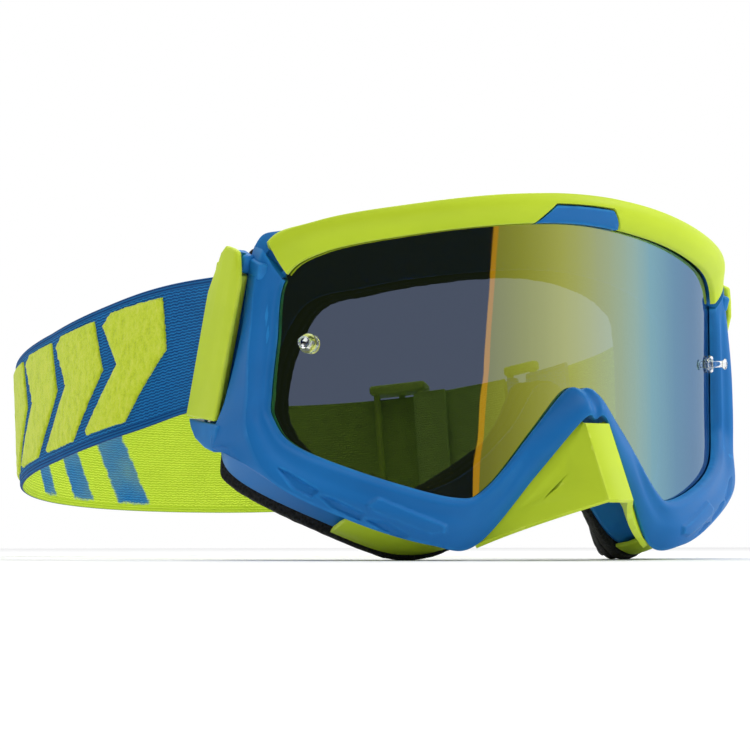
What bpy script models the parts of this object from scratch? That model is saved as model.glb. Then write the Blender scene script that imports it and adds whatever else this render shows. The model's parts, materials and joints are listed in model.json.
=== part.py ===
"""Off-road motorcycle goggles, built as separate parts.

Design frame, in millimetres: X to the wearer's left, -Y forward, +Z up. Z = 0 is the underside of the
frame's two chin lobes, Y = 0 the rim's edge over the nose. The design frame is moved by SHIFT so that
the origin ends at the bottom centre of the whole object.
The lens is a sheet bent to a cylinder with an upright axis, and most of the frame is described from it:
a closed line of stations runs round the lens, from the nose over the chin and side to the brow.
"""
import math
import bpy
import bmesh
from mathutils import Matrix, Vector

# ---------------------------------------------------------------- driving dimensions (mm)
MM = 0.001
SHIFT = Vector((0.07, -115.45, 3.75))
LENS_R = 101.0          # outer radius of the bent lens
LENS_T = 1.3            # lens thickness
AXIS_Y = 102.0          # the lens cylinder's axis
GAP = 0.35              # gap between touching parts
LIP_R = LENS_R + GAP    # back of the rim's lip
RIM_R = 103.2           # front edge of the rim's lip
SEAT_R = LENS_R - LENS_T - GAP
WALL = 2.2
FOAM_T = (5.6, 4.6, 2.4)  # the face foam's three layers
FOAM_GAP = 0.6          # the layers' meshes are coarse, so they keep a wider gap
STRAP_W = 42.0
STRAP_T = 1.6
STRAP_R = 105.0         # the strap's back half is a circular arc of this radius
STRAP_TILT = math.atan(0.14)
STRAP_CENTRE = Vector((0.0, 143.0, 47.7))
SLIDER_DEG = 47.0       # where the slider rests on the arc, from +X
RING_DEG = 17.0
HINGE_TILT = math.radians(22.0)
HINGE_AT = Vector((87.6, 54.0, 58.5))   # middle of the right-hand outrigger's hinge pin
PIN_R = 1.15
POST_X, POST_Z = 72.0, 57.6

# Stations round the lens, right half, from the nose's centre to the brow's centre.
# A: edge of the rim over the lens (x, z).  C: the rim's outer corner (x, y, z).  D: the outer wall's rear edge.
# H: how far the crest stands out.  F: outer edge of the face flange (x, z).  E: edge of the eye opening (x, z).
STATIONS = [
    #  A              C                     D                    H    F              E
    ((0.0, 45.2),   (0.0, -7.9, 35.8),   (0.0, 1.5, 37.6),    2.4, (0.0, 27.5),   (0.0, 49.0)),
    ((4.8, 44.6),   (3.9, -7.9, 35.8),   (4.6, 1.5, 37.2),    2.4, (5.0, 25.6),   (4.8, 47.0)),
    ((15.6, 32.8),  (15.6, -1.0, 19.9),  (17.6, 5.6, 23.4),   2.0, (14.5, 14.0),  (12.5, 35.0)),
    ((29.2, 16.9),  (30.4, 7.6, 0.0),    (31.8, 13.6, 4.2),   1.8, (27.0, 2.6),   (26.5, 21.6)),
    ((38.0, 13.5),  (44.6, 9.6, 0.0),    (46.0, 17.0, 3.4),   2.0, (43.0, -0.8),  (40.0, 16.2)),
    ((58.0, 19.2),  (63.4, 19.3, 6.3),   (66.0, 28.0, 10.0),  1.8, (61.0, 7.4),   (55.5, 19.4)),
    ((75.5, 27.8),  (82.6, 31.6, 17.2),  (89.2, 45.0, 25.2),  1.3, (77.0, 18.4),  (66.0, 28.6)),
    ((80.9, 36.4),  (88.2, 38.4, 31.0),  (91.0, 57.0, 29.6),  1.0, (81.4, 27.6),  (68.6, 37.0)),
    ((81.2, 44.0),  (88.3, 38.4, 44.0),  (88.6, 47.0, 41.0),  1.0, (79.2, 40.6),  (68.2, 44.0)),
    ((80.2, 58.0),  (87.6, 38.4, 60.0),  (85.8, 46.6, 61.0),  0.9, (77.4, 58.0),  (66.2, 56.5)),
    ((78.5, 76.2),  (83.7, 37.2, 85.0),  (81.2, 42.8, 85.8),  1.2, (77.6, 80.5),  (60.5, 69.5)),
    ((70.0, 83.8),  (72.6, 23.8, 92.4),  (75.6, 36.6, 91.4),  1.8, (69.0, 89.0),  (50.0, 74.8)),
    ((50.0, 88.3),  (50.0, 8.4, 96.9),   (52.0, 20.0, 96.2),  2.0, (50.0, 93.4),  (38.0, 77.2)),
    ((25.0, 91.8),  (25.0, -0.9, 100.3), (26.0, 10.6, 99.6),  2.0, (25.0, 96.4),  (18.0, 79.6)),
    ((0.0, 93.4),   (0.0, -3.8, 101.6),  (0.0, 7.6, 101.0),   2.0, (0.0, 97.6),   (0.0, 80.5)),
]
LAST = len(STATIONS) - 1
STEPS = [1, 3, 4, 2, 3, 4, 3, 2, 2, 3, 3, 3, 3, 3]   # stations between two rows
BROW_FROM = 10.0         # the lime brow trim starts at this station, on both sides
INSERT_HALF = 15.0       # half the width of the brow's centre insert at the lens edge


# ---------------------------------------------------------------- curves
def row(index):
    """The numbers of station row index, which runs on round the mirrored half."""
    index %= 2 * LAST
    sign = 1.0
    if index > LAST:
        index, sign = 2 * LAST - index, -1.0
    a, c, d, h, f, e = STATIONS[index]
    return [sign * a[0], a[1], sign * c[0], c[1], c[2], sign * d[0], d[1], d[2], h, sign * f[0], f[1], sign * e[0], e[1]]


def spline(p0, p1, p2, p3, t):
    return [0.5 * (2 * b + (c - a) * t + (2 * a - 5 * b + 4 * c - d) * t * t + (3 * b - a - 3 * c + d) * t ** 3)
            for a, b, c, d in zip(p0, p1, p2, p3)]


def station(t):
    """All outlines at station t, a number from 0 (nose) over LAST (brow) to twice LAST (nose again)."""
    i = math.floor(t)
    n = spline(row(i - 1), row(i), row(i + 1), row(i + 2), t - i)
    return {"A": (n[0], n[1]), "C": Vector(n[2:5]), "D": Vector(n[5:8]), "H": n[8], "F": (n[9], n[10]), "E": (n[11], n[12])}


def stations(extra=()):
    """Station numbers right round, with extra ones put in where a part has a step."""
    half = [i + k / n for i, n in enumerate(STEPS) for k in range(n)] + [float(LAST)]
    full = half + [2 * LAST - t for t in reversed(half[1:-1])]
    return sorted(set(full) | set(extra))


def cyl(angle, radius, z):
    """A point by its angle round the lens axis from straight ahead, its radius and its height."""
    return Vector((radius * math.sin(angle), AXIS_Y - radius * math.cos(angle), z))


def unrolled(t, key):
    """Outline A in the lens's unrolled plane: (arc length, z)."""
    x, z = station(t)[key]
    return Vector((RIM_R * math.asin(x / RIM_R), z))


def lens_offset(t, out, radius):
    """Outline A moved outwards by out within the bent sheet, at this radius."""
    p, q = unrolled(t - 0.04, "A"), unrolled(t + 0.04, "A")
    along = (q - p).normalized()
    outward = Vector((along.y, -along.x))
    s = unrolled(t, "A") + outward * out
    return cyl(s.x / RIM_R, radius, s.y)


def radial(p):
    """Unit vector from the lens axis out through p."""
    return Vector((p.x, p.y - AXIS_Y, 0)).normalized()


def face_y(x):
    """Where the face flange lies: the curve of the wearer's face seen from above."""
    return 17.0 + 0.0076 * x * x


def on_face(x, z, back=0.0):
    """A point on the face surface, moved back along its normal. Beside the nose the way back also splays outwards."""
    n = Vector((-2 * 0.0076 * x, 1.0, 0)).normalized()
    near = min(1.0, abs(x) / 10) * max(0.0, min(1.0, (50 - abs(x)) / 30)) * max(0.0, min(1.0, (30 - z) / 14))
    n += Vector((math.copysign(0.75 * near, x), 0, 0))
    return Vector((x, face_y(x), z)) + n * back


# ---------------------------------------------------------------- making objects
def clear():
    for o in list(bpy.data.objects):
        bpy.data.objects.remove(o)


def collection(name):
    c = bpy.data.collections.new(name)
    bpy.context.scene.collection.children.link(c)
    return c


def material(name, colour, roughness, metallic=0.0, alpha=1.0):
    m = bpy.data.materials.new(name)
    m.use_nodes = True
    b = m.node_tree.nodes["Principled BSDF"]
    b.inputs["Base Color"].default_value = (*colour, 1.0)
    b.inputs["Roughness"].default_value = roughness
    b.inputs["Metallic"].default_value = metallic
    b.inputs["Alpha"].default_value = alpha
    return m


def obj(name, mesh, mat, where, parent=None):
    o = bpy.data.objects.new(name, mesh)
    where.objects.link(o)
    if mat:
        mesh.materials.append(mat)
    o.parent = parent or design
    mesh.shade_smooth()
    mesh.set_sharp_from_angle(angle=math.radians(35))
    return o


def loft(name, sections, mat, where, closed=True, parent=None):
    """A solid through like sections, each a closed loop of points in mm: a ring if closed, else with end caps."""
    bm = bmesh.new()
    rings = [[bm.verts.new(p * MM) for p in s] for s in sections]
    n = len(rings[0])
    pairs = list(zip(rings, rings[1:] + rings[:1])) if closed else list(zip(rings, rings[1:]))
    for a, b in pairs:
        for i in range(n):
            bm.faces.new((a[i], a[(i + 1) % n], b[(i + 1) % n], b[i]))
    if not closed:
        bm.faces.new(rings[0])
        bm.faces.new(list(reversed(rings[-1])))
    bmesh.ops.recalc_face_normals(bm, faces=bm.faces)
    mesh = bpy.data.meshes.new(name)
    bm.to_mesh(mesh)
    bm.free()
    return obj(name, mesh, mat, where, parent)


def empty(name, matrix, parent=None):
    o = bpy.data.objects.new(name, None)
    bpy.context.scene.collection.objects.link(o)
    o.parent = parent
    o.matrix_local = matrix
    return o


def boolean(target, cutter, operation="DIFFERENCE"):
    m = target.modifiers.new(operation.title(), "BOOLEAN")
    m.operation = operation
    m.object = cutter
    cutter.hide_render = True
    cutter.display_type = "WIRE"


def block(name, lo, hi, mat, where, parent=None, bevel=0.0):
    """A box between two corners in mm, its edges rounded by bevel."""
    bm = bmesh.new()
    bmesh.ops.create_cube(bm, size=1.0)
    size = [(b - a) * MM for a, b in zip(lo, hi)]
    middle = [(a + b) / 2 * MM for a, b in zip(lo, hi)]
    bmesh.ops.scale(bm, vec=size, verts=bm.verts)
    bmesh.ops.translate(bm, vec=middle, verts=bm.verts)
    if bevel:
        bmesh.ops.bevel(bm, geom=list(bm.edges), offset=bevel * MM, segments=1, affect="EDGES")
    mesh = bpy.data.meshes.new(name)
    bm.to_mesh(mesh)
    bm.free()
    return obj(name, mesh, mat, where, parent)


def rod(name, at, radius, length, mat, where, parent=None, sides=16):
    """A cylinder along its parent's Z, centred on at (mm)."""
    bm = bmesh.new()
    bmesh.ops.create_cone(bm, cap_ends=True, segments=sides, radius1=radius * MM, radius2=radius * MM, depth=length * MM)
    bmesh.ops.translate(bm, vec=[c * MM for c in at], verts=bm.verts)
    mesh = bpy.data.meshes.new(name)
    bm.to_mesh(mesh)
    bm.free()
    return obj(name, mesh, mat, where, parent)


def turned(name, profile, mat, where, parent, steps=20):
    """A turned piece: the profile (radius, height) in mm, from the axis outwards top to bottom, spun about Z."""
    mesh = bpy.data.meshes.new(name)
    bm = bmesh.new()
    verts = [bm.verts.new((r * MM, 0, z * MM)) for r, z in profile]
    for a, b in zip(verts, verts[1:]):
        bm.edges.new((a, b))
    bm.to_mesh(mesh)
    bm.free()
    o = obj(name, mesh, mat, where, parent)
    m = o.modifiers.new("Screw", "SCREW")
    m.steps = m.render_steps = steps
    m.use_merge_vertices = True
    m.merge_threshold = 0.00001
    return o


clear()
parts = collection("motorcycle_goggles")
cutters = collection("cutters")
cutters.hide_render = False
design = empty("design_frame", Matrix.Translation(SHIFT * MM))

blue = material("frame_blue", (0.02, 0.16, 0.52), 0.42)
lime = material("lime", (0.56, 0.80, 0.03), 0.45)
black = material("foam_black", (0.015, 0.015, 0.016), 0.95)
fleece = material("fleece_black", (0.03, 0.03, 0.032), 1.0)
lens_mat = material("lens_tint", (0.10, 0.12, 0.18), 0.05, 0.0, 0.5)
clear_mat = material("clear_plastic", (0.85, 0.88, 0.9), 0.08, 0.0, 0.5)
web_blue = material("strap_blue", (0.02, 0.20, 0.52), 0.85)
steel = material("pin_steel", (0.6, 0.6, 0.62), 0.3, 1.0)


# ---------------------------------------------------------------- rim, brow trim and insert
def front(t, depth):
    """The rim's front at station t, depth mm under its surface: edge at the lens, crest, outer corner, and a point on the outer wall."""
    s = station(t)
    a = lens_offset(t, 0.0, RIM_R - depth)
    a0 = lens_offset(t, 0.0, RIM_R)
    c, d = s["C"], s["D"]
    b = a0.lerp(c, 0.5) + radial(a0.lerp(c, 0.5)) * s["H"]
    inward = (a0 - c).normalized()
    back = (d - c).normalized()
    cc = c + (inward + back).normalized() * depth * 1.3
    w = c.lerp(d, 0.5)
    return a, b - radial(b) * depth, cc, w + inward * depth, s


def rim_section(t, recess):
    """The rim's section. In the brow zone its front lies recess mm back, to carry the brow trim."""
    a, b, c, w, s = front(t, recess)
    d = s["D"]
    a0 = lens_offset(t, 0.0, RIM_R)
    inward = (a0 - s["C"]).normalized()
    lip_front = a if not recess else lens_offset(t, 0.0, LIP_R + 0.7)
    if recess:
        lip_front = lens_offset(t, 1.6, LIP_R + 0.75)
    lip_back = lens_offset(t, 0.0 if not recess else 1.6, LIP_R)
    root = lens_offset(t, 4.2, LIP_R)
    deep = lens_offset(t, 4.6, LIP_R - 2.4)
    d_in = d + inward * (WALL - 0.5)
    return [lip_front, b, c, w, d, d_in, deep, root, lip_back]


def build_rim():
    eps = 0.03
    lo, hi = BROW_FROM, 2 * LAST - BROW_FROM
    ts = stations((lo - eps, lo + eps, hi - eps, hi + eps))
    ts = [t for t in ts if t not in (lo, hi)]
    sections = [rim_section(t, 3.2 if lo < t < hi else 0.0) for t in ts]
    return loft("outer_rim", sections, blue, parts)


def notch(x):
    """How far up the front face the brow's centre notch reaches at this x: 0 at its ends, then 0.62 of the face."""
    return 0.62 * max(0.0, min(1.0, (INSERT_HALF - abs(x)) / 5.0))


def along_front(t, share, depth):
    """A point on the front, share 0 at the lens edge, 0.5 on the crest and 1 on the outer corner."""
    a, b, c, _, _ = front(t, depth)
    return a.lerp(b, share * 2) if share <= 0.5 else b.lerp(c, share * 2 - 1)


def brow_section(t, depth=2.0):
    s = station(t)
    start = notch(s["A"][0])
    shares = [start, start + (max(0.5, start + 0.12) - start) / 2, max(0.5, start + 0.12), 1.0]
    wall_share = max(0.0, min(1.0, (min(t, 2 * LAST - t) - BROW_FROM) / 1.0))
    outer = [along_front(t, q, 0.0) for q in shares]
    inner = [along_front(t, q, depth) for q in shares]
    inner[0] = lens_offset(t, 0.0, RIM_R).lerp(outer[0], 1.0) - radial(outer[0]) * (1.5 if start == 0 else depth)
    _, _, _, w, _ = front(t, 0.0)
    _, _, _, wi, _ = front(t, depth)
    top = outer[-1].lerp(w, 0.2 + 0.8 * wall_share)
    top_in = inner[-1].lerp(wi, 0.2 + 0.8 * wall_share)
    return outer + [top, top_in] + list(reversed(inner))


def build_brow():
    lo, hi = BROW_FROM + 0.12, 2 * LAST - BROW_FROM - 0.12
    corners = [insert_t(x) for x in (INSERT_HALF, 12.5, 10.0, -10.0, -12.5, -INSERT_HALF)]
    ts = [t for t in stations((lo, hi, *corners)) if lo <= t <= hi]
    return loft("brow_trim", [brow_section(t) for t in ts], lime, parts, closed=False)


def insert_t(x):
    """The station number where outline A is at x, near the brow's centre."""
    lo, hi = LAST - 1.0, LAST + 1.0
    for _ in range(40):
        mid = (lo + hi) / 2
        if station(mid)["A"][0] > x:
            lo = mid
        else:
            hi = mid
    return lo


def build_insert():
    sections = []
    for x in (14.0, 12.0, 9.6, 6.4, 3.2, 0.0, -3.2, -6.4, -9.6, -12.0, -14.0):
        t = insert_t(x)
        top = max(0.03, notch(x) - 0.09)
        shares = [0.0, top / 2, top]
        outer = [along_front(t, q, 0.0) + radial(along_front(t, q, 0.0)) * 0.0 for q in shares]
        inner = [p - radial(p) * 1.4 for p in outer]
        sections.append(outer + list(reversed(inner)))
    return loft("brow_centre_insert", sections, blue, parts, closed=False)


# ---------------------------------------------------------------- inner frame, foam
def flange_points(t):
    """Where the inner frame's rear flange runs: outer edge and inner edge, on the face surface."""
    s = station(t)
    return s["F"], s["E"]


def shrink(p, q, by):
    """Point p (x, z) moved towards q by a distance."""
    d = Vector((q[0] - p[0], q[1] - p[1]))
    return (p[0] + d.normalized().x * by, p[1] + d.normalized().y * by)


def pocket(t):
    """1 where the inner frame gives way to the strap's hinge, 0 elsewhere."""
    u = min(t, 2 * LAST - t)
    return max(0.0, min(1.0, (u - 6.4) / 0.6, (10.6 - u) / 0.6))


def inner_section(t):
    f, e = flange_points(t)
    s = station(t)
    inward = (lens_offset(t, 0.0, RIM_R) - s["C"]).normalized()
    waist = s["D"] + inward * (WALL + 1.2 + 4.2 * pocket(t))
    f_in = shrink(f, e, WALL)
    e_out = shrink(e, f, 1.0)
    return [
        lens_offset(t, 1.2, SEAT_R), lens_offset(t, 3.4, SEAT_R), lens_offset(t, 3.4, SEAT_R - 1.6), waist,
        on_face(*f, -2.2), on_face(*f, 0.0), on_face(*e_out, 0.0), on_face(*e_out, -1.7), on_face(*f_in, -1.9),
        waist + inward * WALL, lens_offset(t, 1.8, SEAT_R - 2.4), lens_offset(t, 1.2, SEAT_R - 1.5),
    ]


def build_inner():
    return loft("inner_frame", [inner_section(t) for t in stations()], blue, parts)


def foam_ring(name, front_at, back_at, out_front, out_back, mat):
    sections = []
    for t in stations():
        f, e = flange_points(t)
        less = 1.0 - 0.7 * pocket(t)
        of, ob = shrink(f, e, -out_front * less), shrink(f, e, -out_back * less)
        ef, eb = shrink(e, f, 0.2), shrink(e, f, 1.4)
        sections.append([on_face(*of, front_at), on_face(*ob, back_at), on_face(*eb, back_at), on_face(*ef, front_at)])
    return loft(name, sections, mat, parts)


# ---------------------------------------------------------------- lens and its posts
def build_lens():
    """A flat sheet cut to outline, then bent round the lens axis, with a hole for each tear-off post."""
    bm = bmesh.new()
    points = []
    for t in stations():
        p = lens_offset(t, 3.0, LENS_R)
        points.append((math.atan2(p.x, AXIS_Y - p.y), p.z))
    bm.faces.new([bm.verts.new((angle, 0, z)) for angle, z in points])
    for k in range(-28, 29, 2):
        geom = list(bm.verts) + list(bm.edges) + list(bm.faces)
        bmesh.ops.bisect_plane(bm, geom=geom, dist=1e-7, plane_co=(math.radians(2.0 * k + 0.1), 0, 0), plane_no=(1, 0, 0))
    up = bmesh.ops.extrude_face_region(bm, geom=list(bm.faces))
    for v in [v for v in up["geom"] if isinstance(v, bmesh.types.BMVert)]:
        v.co.y = LENS_T
    for v in bm.verts:
        v.co = cyl(v.co.x, LENS_R - v.co.y, v.co.z) * MM
    bmesh.ops.recalc_face_normals(bm, faces=bm.faces)
    mesh = bpy.data.meshes.new("lens")
    bm.to_mesh(mesh)
    bm.free()
    o = obj("lens", mesh, lens_mat, parts)
    for side in (-1, 1):
        hole = rod(f"post_hole_{side}", (0, 0, 0), 1.55, 12, None, cutters, post_frame(side))
        boolean(o, hole)
    return o


post_frames = {}


def post_frame(side):
    """An empty on the lens's outer surface where a tear-off post goes, its Z along the lens's normal."""
    if side not in post_frames:
        angle = side * math.asin(POST_X / LENS_R)
        p = cyl(angle, LENS_R, POST_Z)
        n = radial(p)
        m = Matrix.Translation(p * MM) @ n.to_track_quat("Z", "Y").to_matrix().to_4x4()
        post_frames[side] = empty(f"post_frame_{side}", m, design)
    return post_frames[side]


# ---------------------------------------------------------------- nose guard and chin trims
def nose_point(u, v):
    """The nose guard's surface. u runs from the ridge (0) to the rim (1), v from the top (0) to the lower edge (1)."""
    s = station(1.0 + 2.0 * v)
    edge = s["C"] + (s["C"] - s["D"]).normalized() * -1.2
    edge = edge + Vector((0, 0, -0.4))
    ridge = Vector((4.2, -8.6 - 11.2 * v, 34.9 - 22.0 * v))
    p = ridge.lerp(edge, u)
    sag = math.sin(math.pi * u) * (0.6 + 2.6 * v)
    return p + Vector((0, sag, 0))


def build_nose():
    bm = bmesh.new()
    cols, rows = 5, 6
    grid = []
    for j in range(rows + 1):
        v = j / rows
        half = [nose_point(i / cols, v) for i in range(cols + 1)]
        line = [Vector((-p.x, p.y, p.z)) for p in reversed(half)] + half
        grid.append([bm.verts.new(p * MM) for p in line])
    for a, b in zip(grid, grid[1:]):
        for i in range(len(a) - 1):
            bm.faces.new((a[i], a[i + 1], b[i + 1], b[i]))
    bmesh.ops.recalc_face_normals(bm, faces=bm.faces)
    mesh = bpy.data.meshes.new("nose_guard")
    bm.to_mesh(mesh)
    bm.free()
    if mesh.polygons[len(mesh.polygons) // 2].normal.y > 0:
        mesh.flip_normals()
    o = obj("nose_guard", mesh, lime, parts)
    m = o.modifiers.new("Thickness", "SOLIDIFY")
    m.thickness, m.offset, m.use_even_offset = 1.7 * MM, -1.0, False
    return o


def chin_section(t):
    """The lime strip under the chin lobe, between the rim's lower edge and the face flange."""
    s = station(t)
    f, e = s["F"], s["E"]
    low = shrink(f, e, -1.8)
    rear_o, rear_i = on_face(*low, -0.4), on_face(*shrink(f, e, -0.8), -0.4)
    d = s["D"]
    down = (Vector((low[0], 0, low[1])) - Vector((e[0], 0, e[1]))).normalized()
    front_o = d.lerp(rear_o, 0.12) + down * 0.4
    front_i = d.lerp(rear_i, 0.12) + Vector((0, 0.2, 0)) - down * 0.2
    mid_o = front_o.lerp(rear_o, 0.5) + down * 0.9
    mid_i = front_i.lerp(rear_i, 0.5) + down * 0.55
    return [front_o, mid_o, rear_o, rear_i, mid_i, front_i]


# ---------------------------------------------------------------- outrigger, hinge and bracket
hinge_frames = {}


def hinge_matrix(side):
    c, s = math.cos(HINGE_TILT), math.sin(HINGE_TILT)
    m = Matrix(((side, 0, 0), (0, c, -s), (0, s, c))).to_4x4()
    m.translation = Vector((side * HINGE_AT.x, HINGE_AT.y, HINGE_AT.z)) * MM
    return m


def hinge_frame(side):
    """An empty on the hinge pin's axis: its Z up the tilted pin, its X outwards, its Y to the rear."""
    if side not in hinge_frames:
        hinge_frames[side] = empty(f"hinge_frame_{side}", hinge_matrix(side), design)
    return hinge_frames[side]


BAR = Vector((-3.0, 9.0, -2.6))   # the strap's bar behind the lever's plate, in the hinge frame
BAR_R = 1.4


def outrigger(side, name):
    """The lime lever that carries the strap: a barrel on the pin, a plate, and a bar behind it for the strap's loop."""
    f = hinge_frame(side)
    outline = [(-8.0, -21.4), (12.8, -24.6), (12.8, 17.0), (7.0, 23.0), (1.6, 28.6), (-1.8, 28.6), (-6.2, 20.0)]
    bm = bmesh.new()
    face = bm.faces.new([bm.verts.new(Vector((0.9, y, z)) * MM) for y, z in outline])
    up = bmesh.ops.extrude_face_region(bm, geom=[face])
    bmesh.ops.translate(bm, vec=(2.2 * MM, 0, 0), verts=[v for v in up["geom"] if isinstance(v, bmesh.types.BMVert)])
    bmesh.ops.recalc_face_normals(bm, faces=bm.faces)
    bmesh.ops.bevel(bm, geom=list(bm.edges), offset=0.5 * MM, segments=1, affect="EDGES")
    mesh = bpy.data.meshes.new(name)
    bm.to_mesh(mesh)
    bm.free()
    o = obj(name, mesh, lime, parts, f)
    barrel = rod(name + "_barrel", (0, 0, 0), 2.9, 43.0, None, cutters, f, sides=20)
    boolean(o, barrel, "UNION")
    for k, z in (("top", 19.6), ("bottom", -27.4)):
        web = block(f"{name}_{k}", (-4.9, 7.0, z), (2.6, 11.2, z + 2.6), None, cutters, f)
        boolean(o, web, "UNION")
    bar = rod(name + "_bar", BAR, BAR_R, 47.0, None, cutters, f, sides=14)
    boolean(o, bar, "UNION")
    bore = rod(name + "_bore", (0, 0, 0), PIN_R + 0.2, 60.0, None, cutters, f, sides=20)
    boolean(o, bore)
    return o


def hinge_pin(side, name):
    f = hinge_frame(side)
    o = rod(name, (0, 0, 0), PIN_R, 52.0, steel, parts, f, sides=20)
    return o


def bracket(side, name):
    """The blue bracket fixed to the frame: a spine inside the lever and a lug at each end of the pin."""
    f = hinge_frame(side)
    o = block(name, (-4.9, 0.5, -25.0), (-3.4, 3.9, 23.2), blue, parts, f)
    for k, z, tall in (("top", 22.2, 5.4), ("bottom", -27.2, 4.8)):
        lug = block(f"{name}_{k}", (-3.7, -2.6, z), (0.4, 4.9, z + tall), None, cutters, f, bevel=0.5)
        boolean(o, lug, "UNION")
    bore = rod(name + "_bore", (0, 0, 0), PIN_R + 0.3, 70.0, None, cutters, f, sides=20)
    boolean(o, bore)
    return o


# ---------------------------------------------------------------- strap
def strap_matrix():
    c, s = math.cos(STRAP_TILT), math.sin(STRAP_TILT)
    m = Matrix(((1, 0, 0), (0, c, s), (0, -s, c))).to_4x4()
    m.translation = STRAP_CENTRE * MM
    return m


def polar(deg, radius):
    a = math.radians(deg)
    return Vector((radius * math.cos(a), radius * math.sin(a), 0))


def bezier(p, n, first=0):
    """Points along a cubic curve, from step first to step n."""
    return [p[0] * (1 - t) ** 3 + p[1] * 3 * t * (1 - t) ** 2 + p[2] * 3 * t * t * (1 - t) + p[3] * t ** 3
            for t in (i / n for i in range(first, n + 1))]


def u_turn(centre, start_deg, sweep, radius, n):
    return [centre + polar(start_deg + sweep * i / n, radius) for i in range(n + 1)]


def side_run(side):
    """The webbing's centre line from the lever's bar back to the strap's arc, in the strap frame, and its half widths.

    The edge leans with the hinge pin at the lever and stands square to the strap's plane LEAN_OVER mm further back."""
    to_strap = strap_matrix().inverted() @ hinge_matrix(side)
    turn = BAR_R + GAP + STRAP_T / 2
    start = to_strap @ ((BAR + Vector((turn, 0, 0))) * MM) / MM
    rear = (to_strap.to_3x3() @ Vector((0, 1, 0))).normalized()
    pin = (to_strap.to_3x3() @ Vector((0, 0, 1))).normalized()
    end = Vector((side * STRAP_R, 0, 0))
    path = bezier([start, start + (rear + Vector((side * 0.06, 1.6, -0.06))) * 9, end + Vector((side * 1.0, -40, 0)), end], SIDE_STEPS)
    widths, gone = [], 0.0
    for i, p in enumerate(path):
        gone += (p - path[i - 1]).length if i else 0.0
        k = min(1.0, gone / LEAN_OVER)
        k = k * k * (3 - 2 * k)
        widths.append((pin * (1 - k) + Vector((0, 0, 1)) * k).normalized() * (STRAP_W / 2))
    return path, widths


def ribbon(name, path, mat, widths=None, parent=None, to_local=None):
    """Flat webbing along a path in the strap frame, its half width at each point given by widths or straight up."""
    sections = []
    for i, p in enumerate(path):
        a, b = path[max(0, i - 1)], path[min(len(path) - 1, i + 1)]
        up = widths[i] if widths and widths[i] else Vector((0, 0, STRAP_W / 2))
        across = (b - a).cross(up).normalized() * (STRAP_T / 2)
        section = [p + across + up, p - across + up, p - across - up, p + across - up]
        sections.append([(to_local @ (q * MM)) / MM for q in section] if to_local else section)
    return loft(name, sections, mat, parts, closed=False, parent=parent)


SIDE_STEPS = 18
END_STEPS = 4      # steps of the side run that belong to the strap's end, which moves with the lever
LEAN_OVER = 52.0


def strap_end(side, name):
    """The webbing's end on the lever: round its bar, and sewn back on itself."""
    f = hinge_frame(side)
    path, widths = side_run(side)
    to_strap = strap_matrix().inverted() @ hinge_matrix(side)
    turn = BAR_R + GAP + STRAP_T / 2
    pin = (to_strap.to_3x3() @ Vector((0, 0, 1))).normalized() * (STRAP_W / 2)
    loop = [to_strap @ ((BAR + Vector((turn * math.cos(a), turn * math.sin(a), 0))) * MM) / MM
            for a in (-math.pi / 2 * k / 3 for k in range(1, 6))]
    hem = [to_strap @ ((BAR + Vector((-turn + 0.02 * d, d, 0))) * MM) / MM for d in (0.0, 3.0, 6.5, 10.0)]
    points = list(reversed(hem)) + list(reversed(loop)) + path[:END_STEPS + 1]
    ups = [pin] * (len(hem) + len(loop)) + widths[:END_STEPS + 1]
    a, b = points[-2], points[-1]
    points[-1] = b - (b - a).normalized() * 0.5
    return ribbon(name, points, web_blue, ups, f, to_strap.inverted())


def build_strap():
    s = empty("strap_frame", strap_matrix(), design)
    turn_r = 1.3 + GAP + STRAP_T / 2
    inner_r = STRAP_R - 2 * turn_r
    # the long webbing: left side, round the back, round the ring's bar and back inside to the slider
    run, ups = side_run(-1)
    run, ups = run[END_STEPS:], ups[END_STEPS:]
    corner = bezier([Vector((-STRAP_R, 0, 0)), Vector((-STRAP_R - 2.5, 62, 0)), Vector((-78, STRAP_R, 0)), Vector((0, STRAP_R, 0))], 22, 1)
    arc_end = RING_DEG + 3.2
    arc = [polar(90 - (90 - arc_end) * i / 22, STRAP_R) for i in range(1, 23)]
    bar = polar(arc_end, STRAP_R - turn_r)
    turn = u_turn(bar, arc_end - 18, -144, turn_r, 6)
    back = [polar(arc_end + (SLIDER_DEG - 10.4 - arc_end) * i / 10, inner_r) for i in range(11)]
    path = run + corner + arc + turn + back
    ribbon("strap_long", path, web_blue, ups + [None] * (len(path) - len(ups)), s)
    # the short webbing: hem, round the ring's other bar, and forward to the right lever
    deg = RING_DEG - 3.2
    bar2 = polar(deg, STRAP_R - turn_r)
    hem = [polar(2.0 + (deg - 2.0) * i / 6, inner_r) for i in range(7)]
    turn2 = list(reversed(u_turn(bar2, deg + 18, 144, turn_r, 6)))
    outer = [polar(deg - deg * i / 5, STRAP_R) for i in range(5)]
    run, ups = side_run(1)
    run, ups = list(reversed(run[END_STEPS:])), list(reversed(ups[END_STEPS:]))
    path = hem + turn2 + outer + run
    ribbon("strap_short", path, web_blue, [None] * (len(path) - len(ups)) + ups, s)
    # ring
    ring = rod("strap_ring", bar, 1.3, 48.0, lime, parts, s, sides=14)
    boolean(ring, rod("strap_ring_bar", bar2, 1.3, 48.0, None, cutters, s, sides=14), "UNION")
    m, d = (bar + bar2) / 2, (bar - bar2).normalized()
    for k, z in (("top", 22.2), ("bottom", -25.8)):
        half = (bar - bar2).length / 2 + 1.9
        rail = block(f"strap_ring_{k}", (-1.9, -half, z), (1.9, half, z + 3.6), None, cutters, s, bevel=0.6)
        rail.matrix_local = Matrix.Translation(m * MM) @ Matrix.Rotation(math.atan2(d.y, d.x) - math.pi / 2, 4, "Z")
        boolean(ring, rail, "UNION")
    return s


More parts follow.
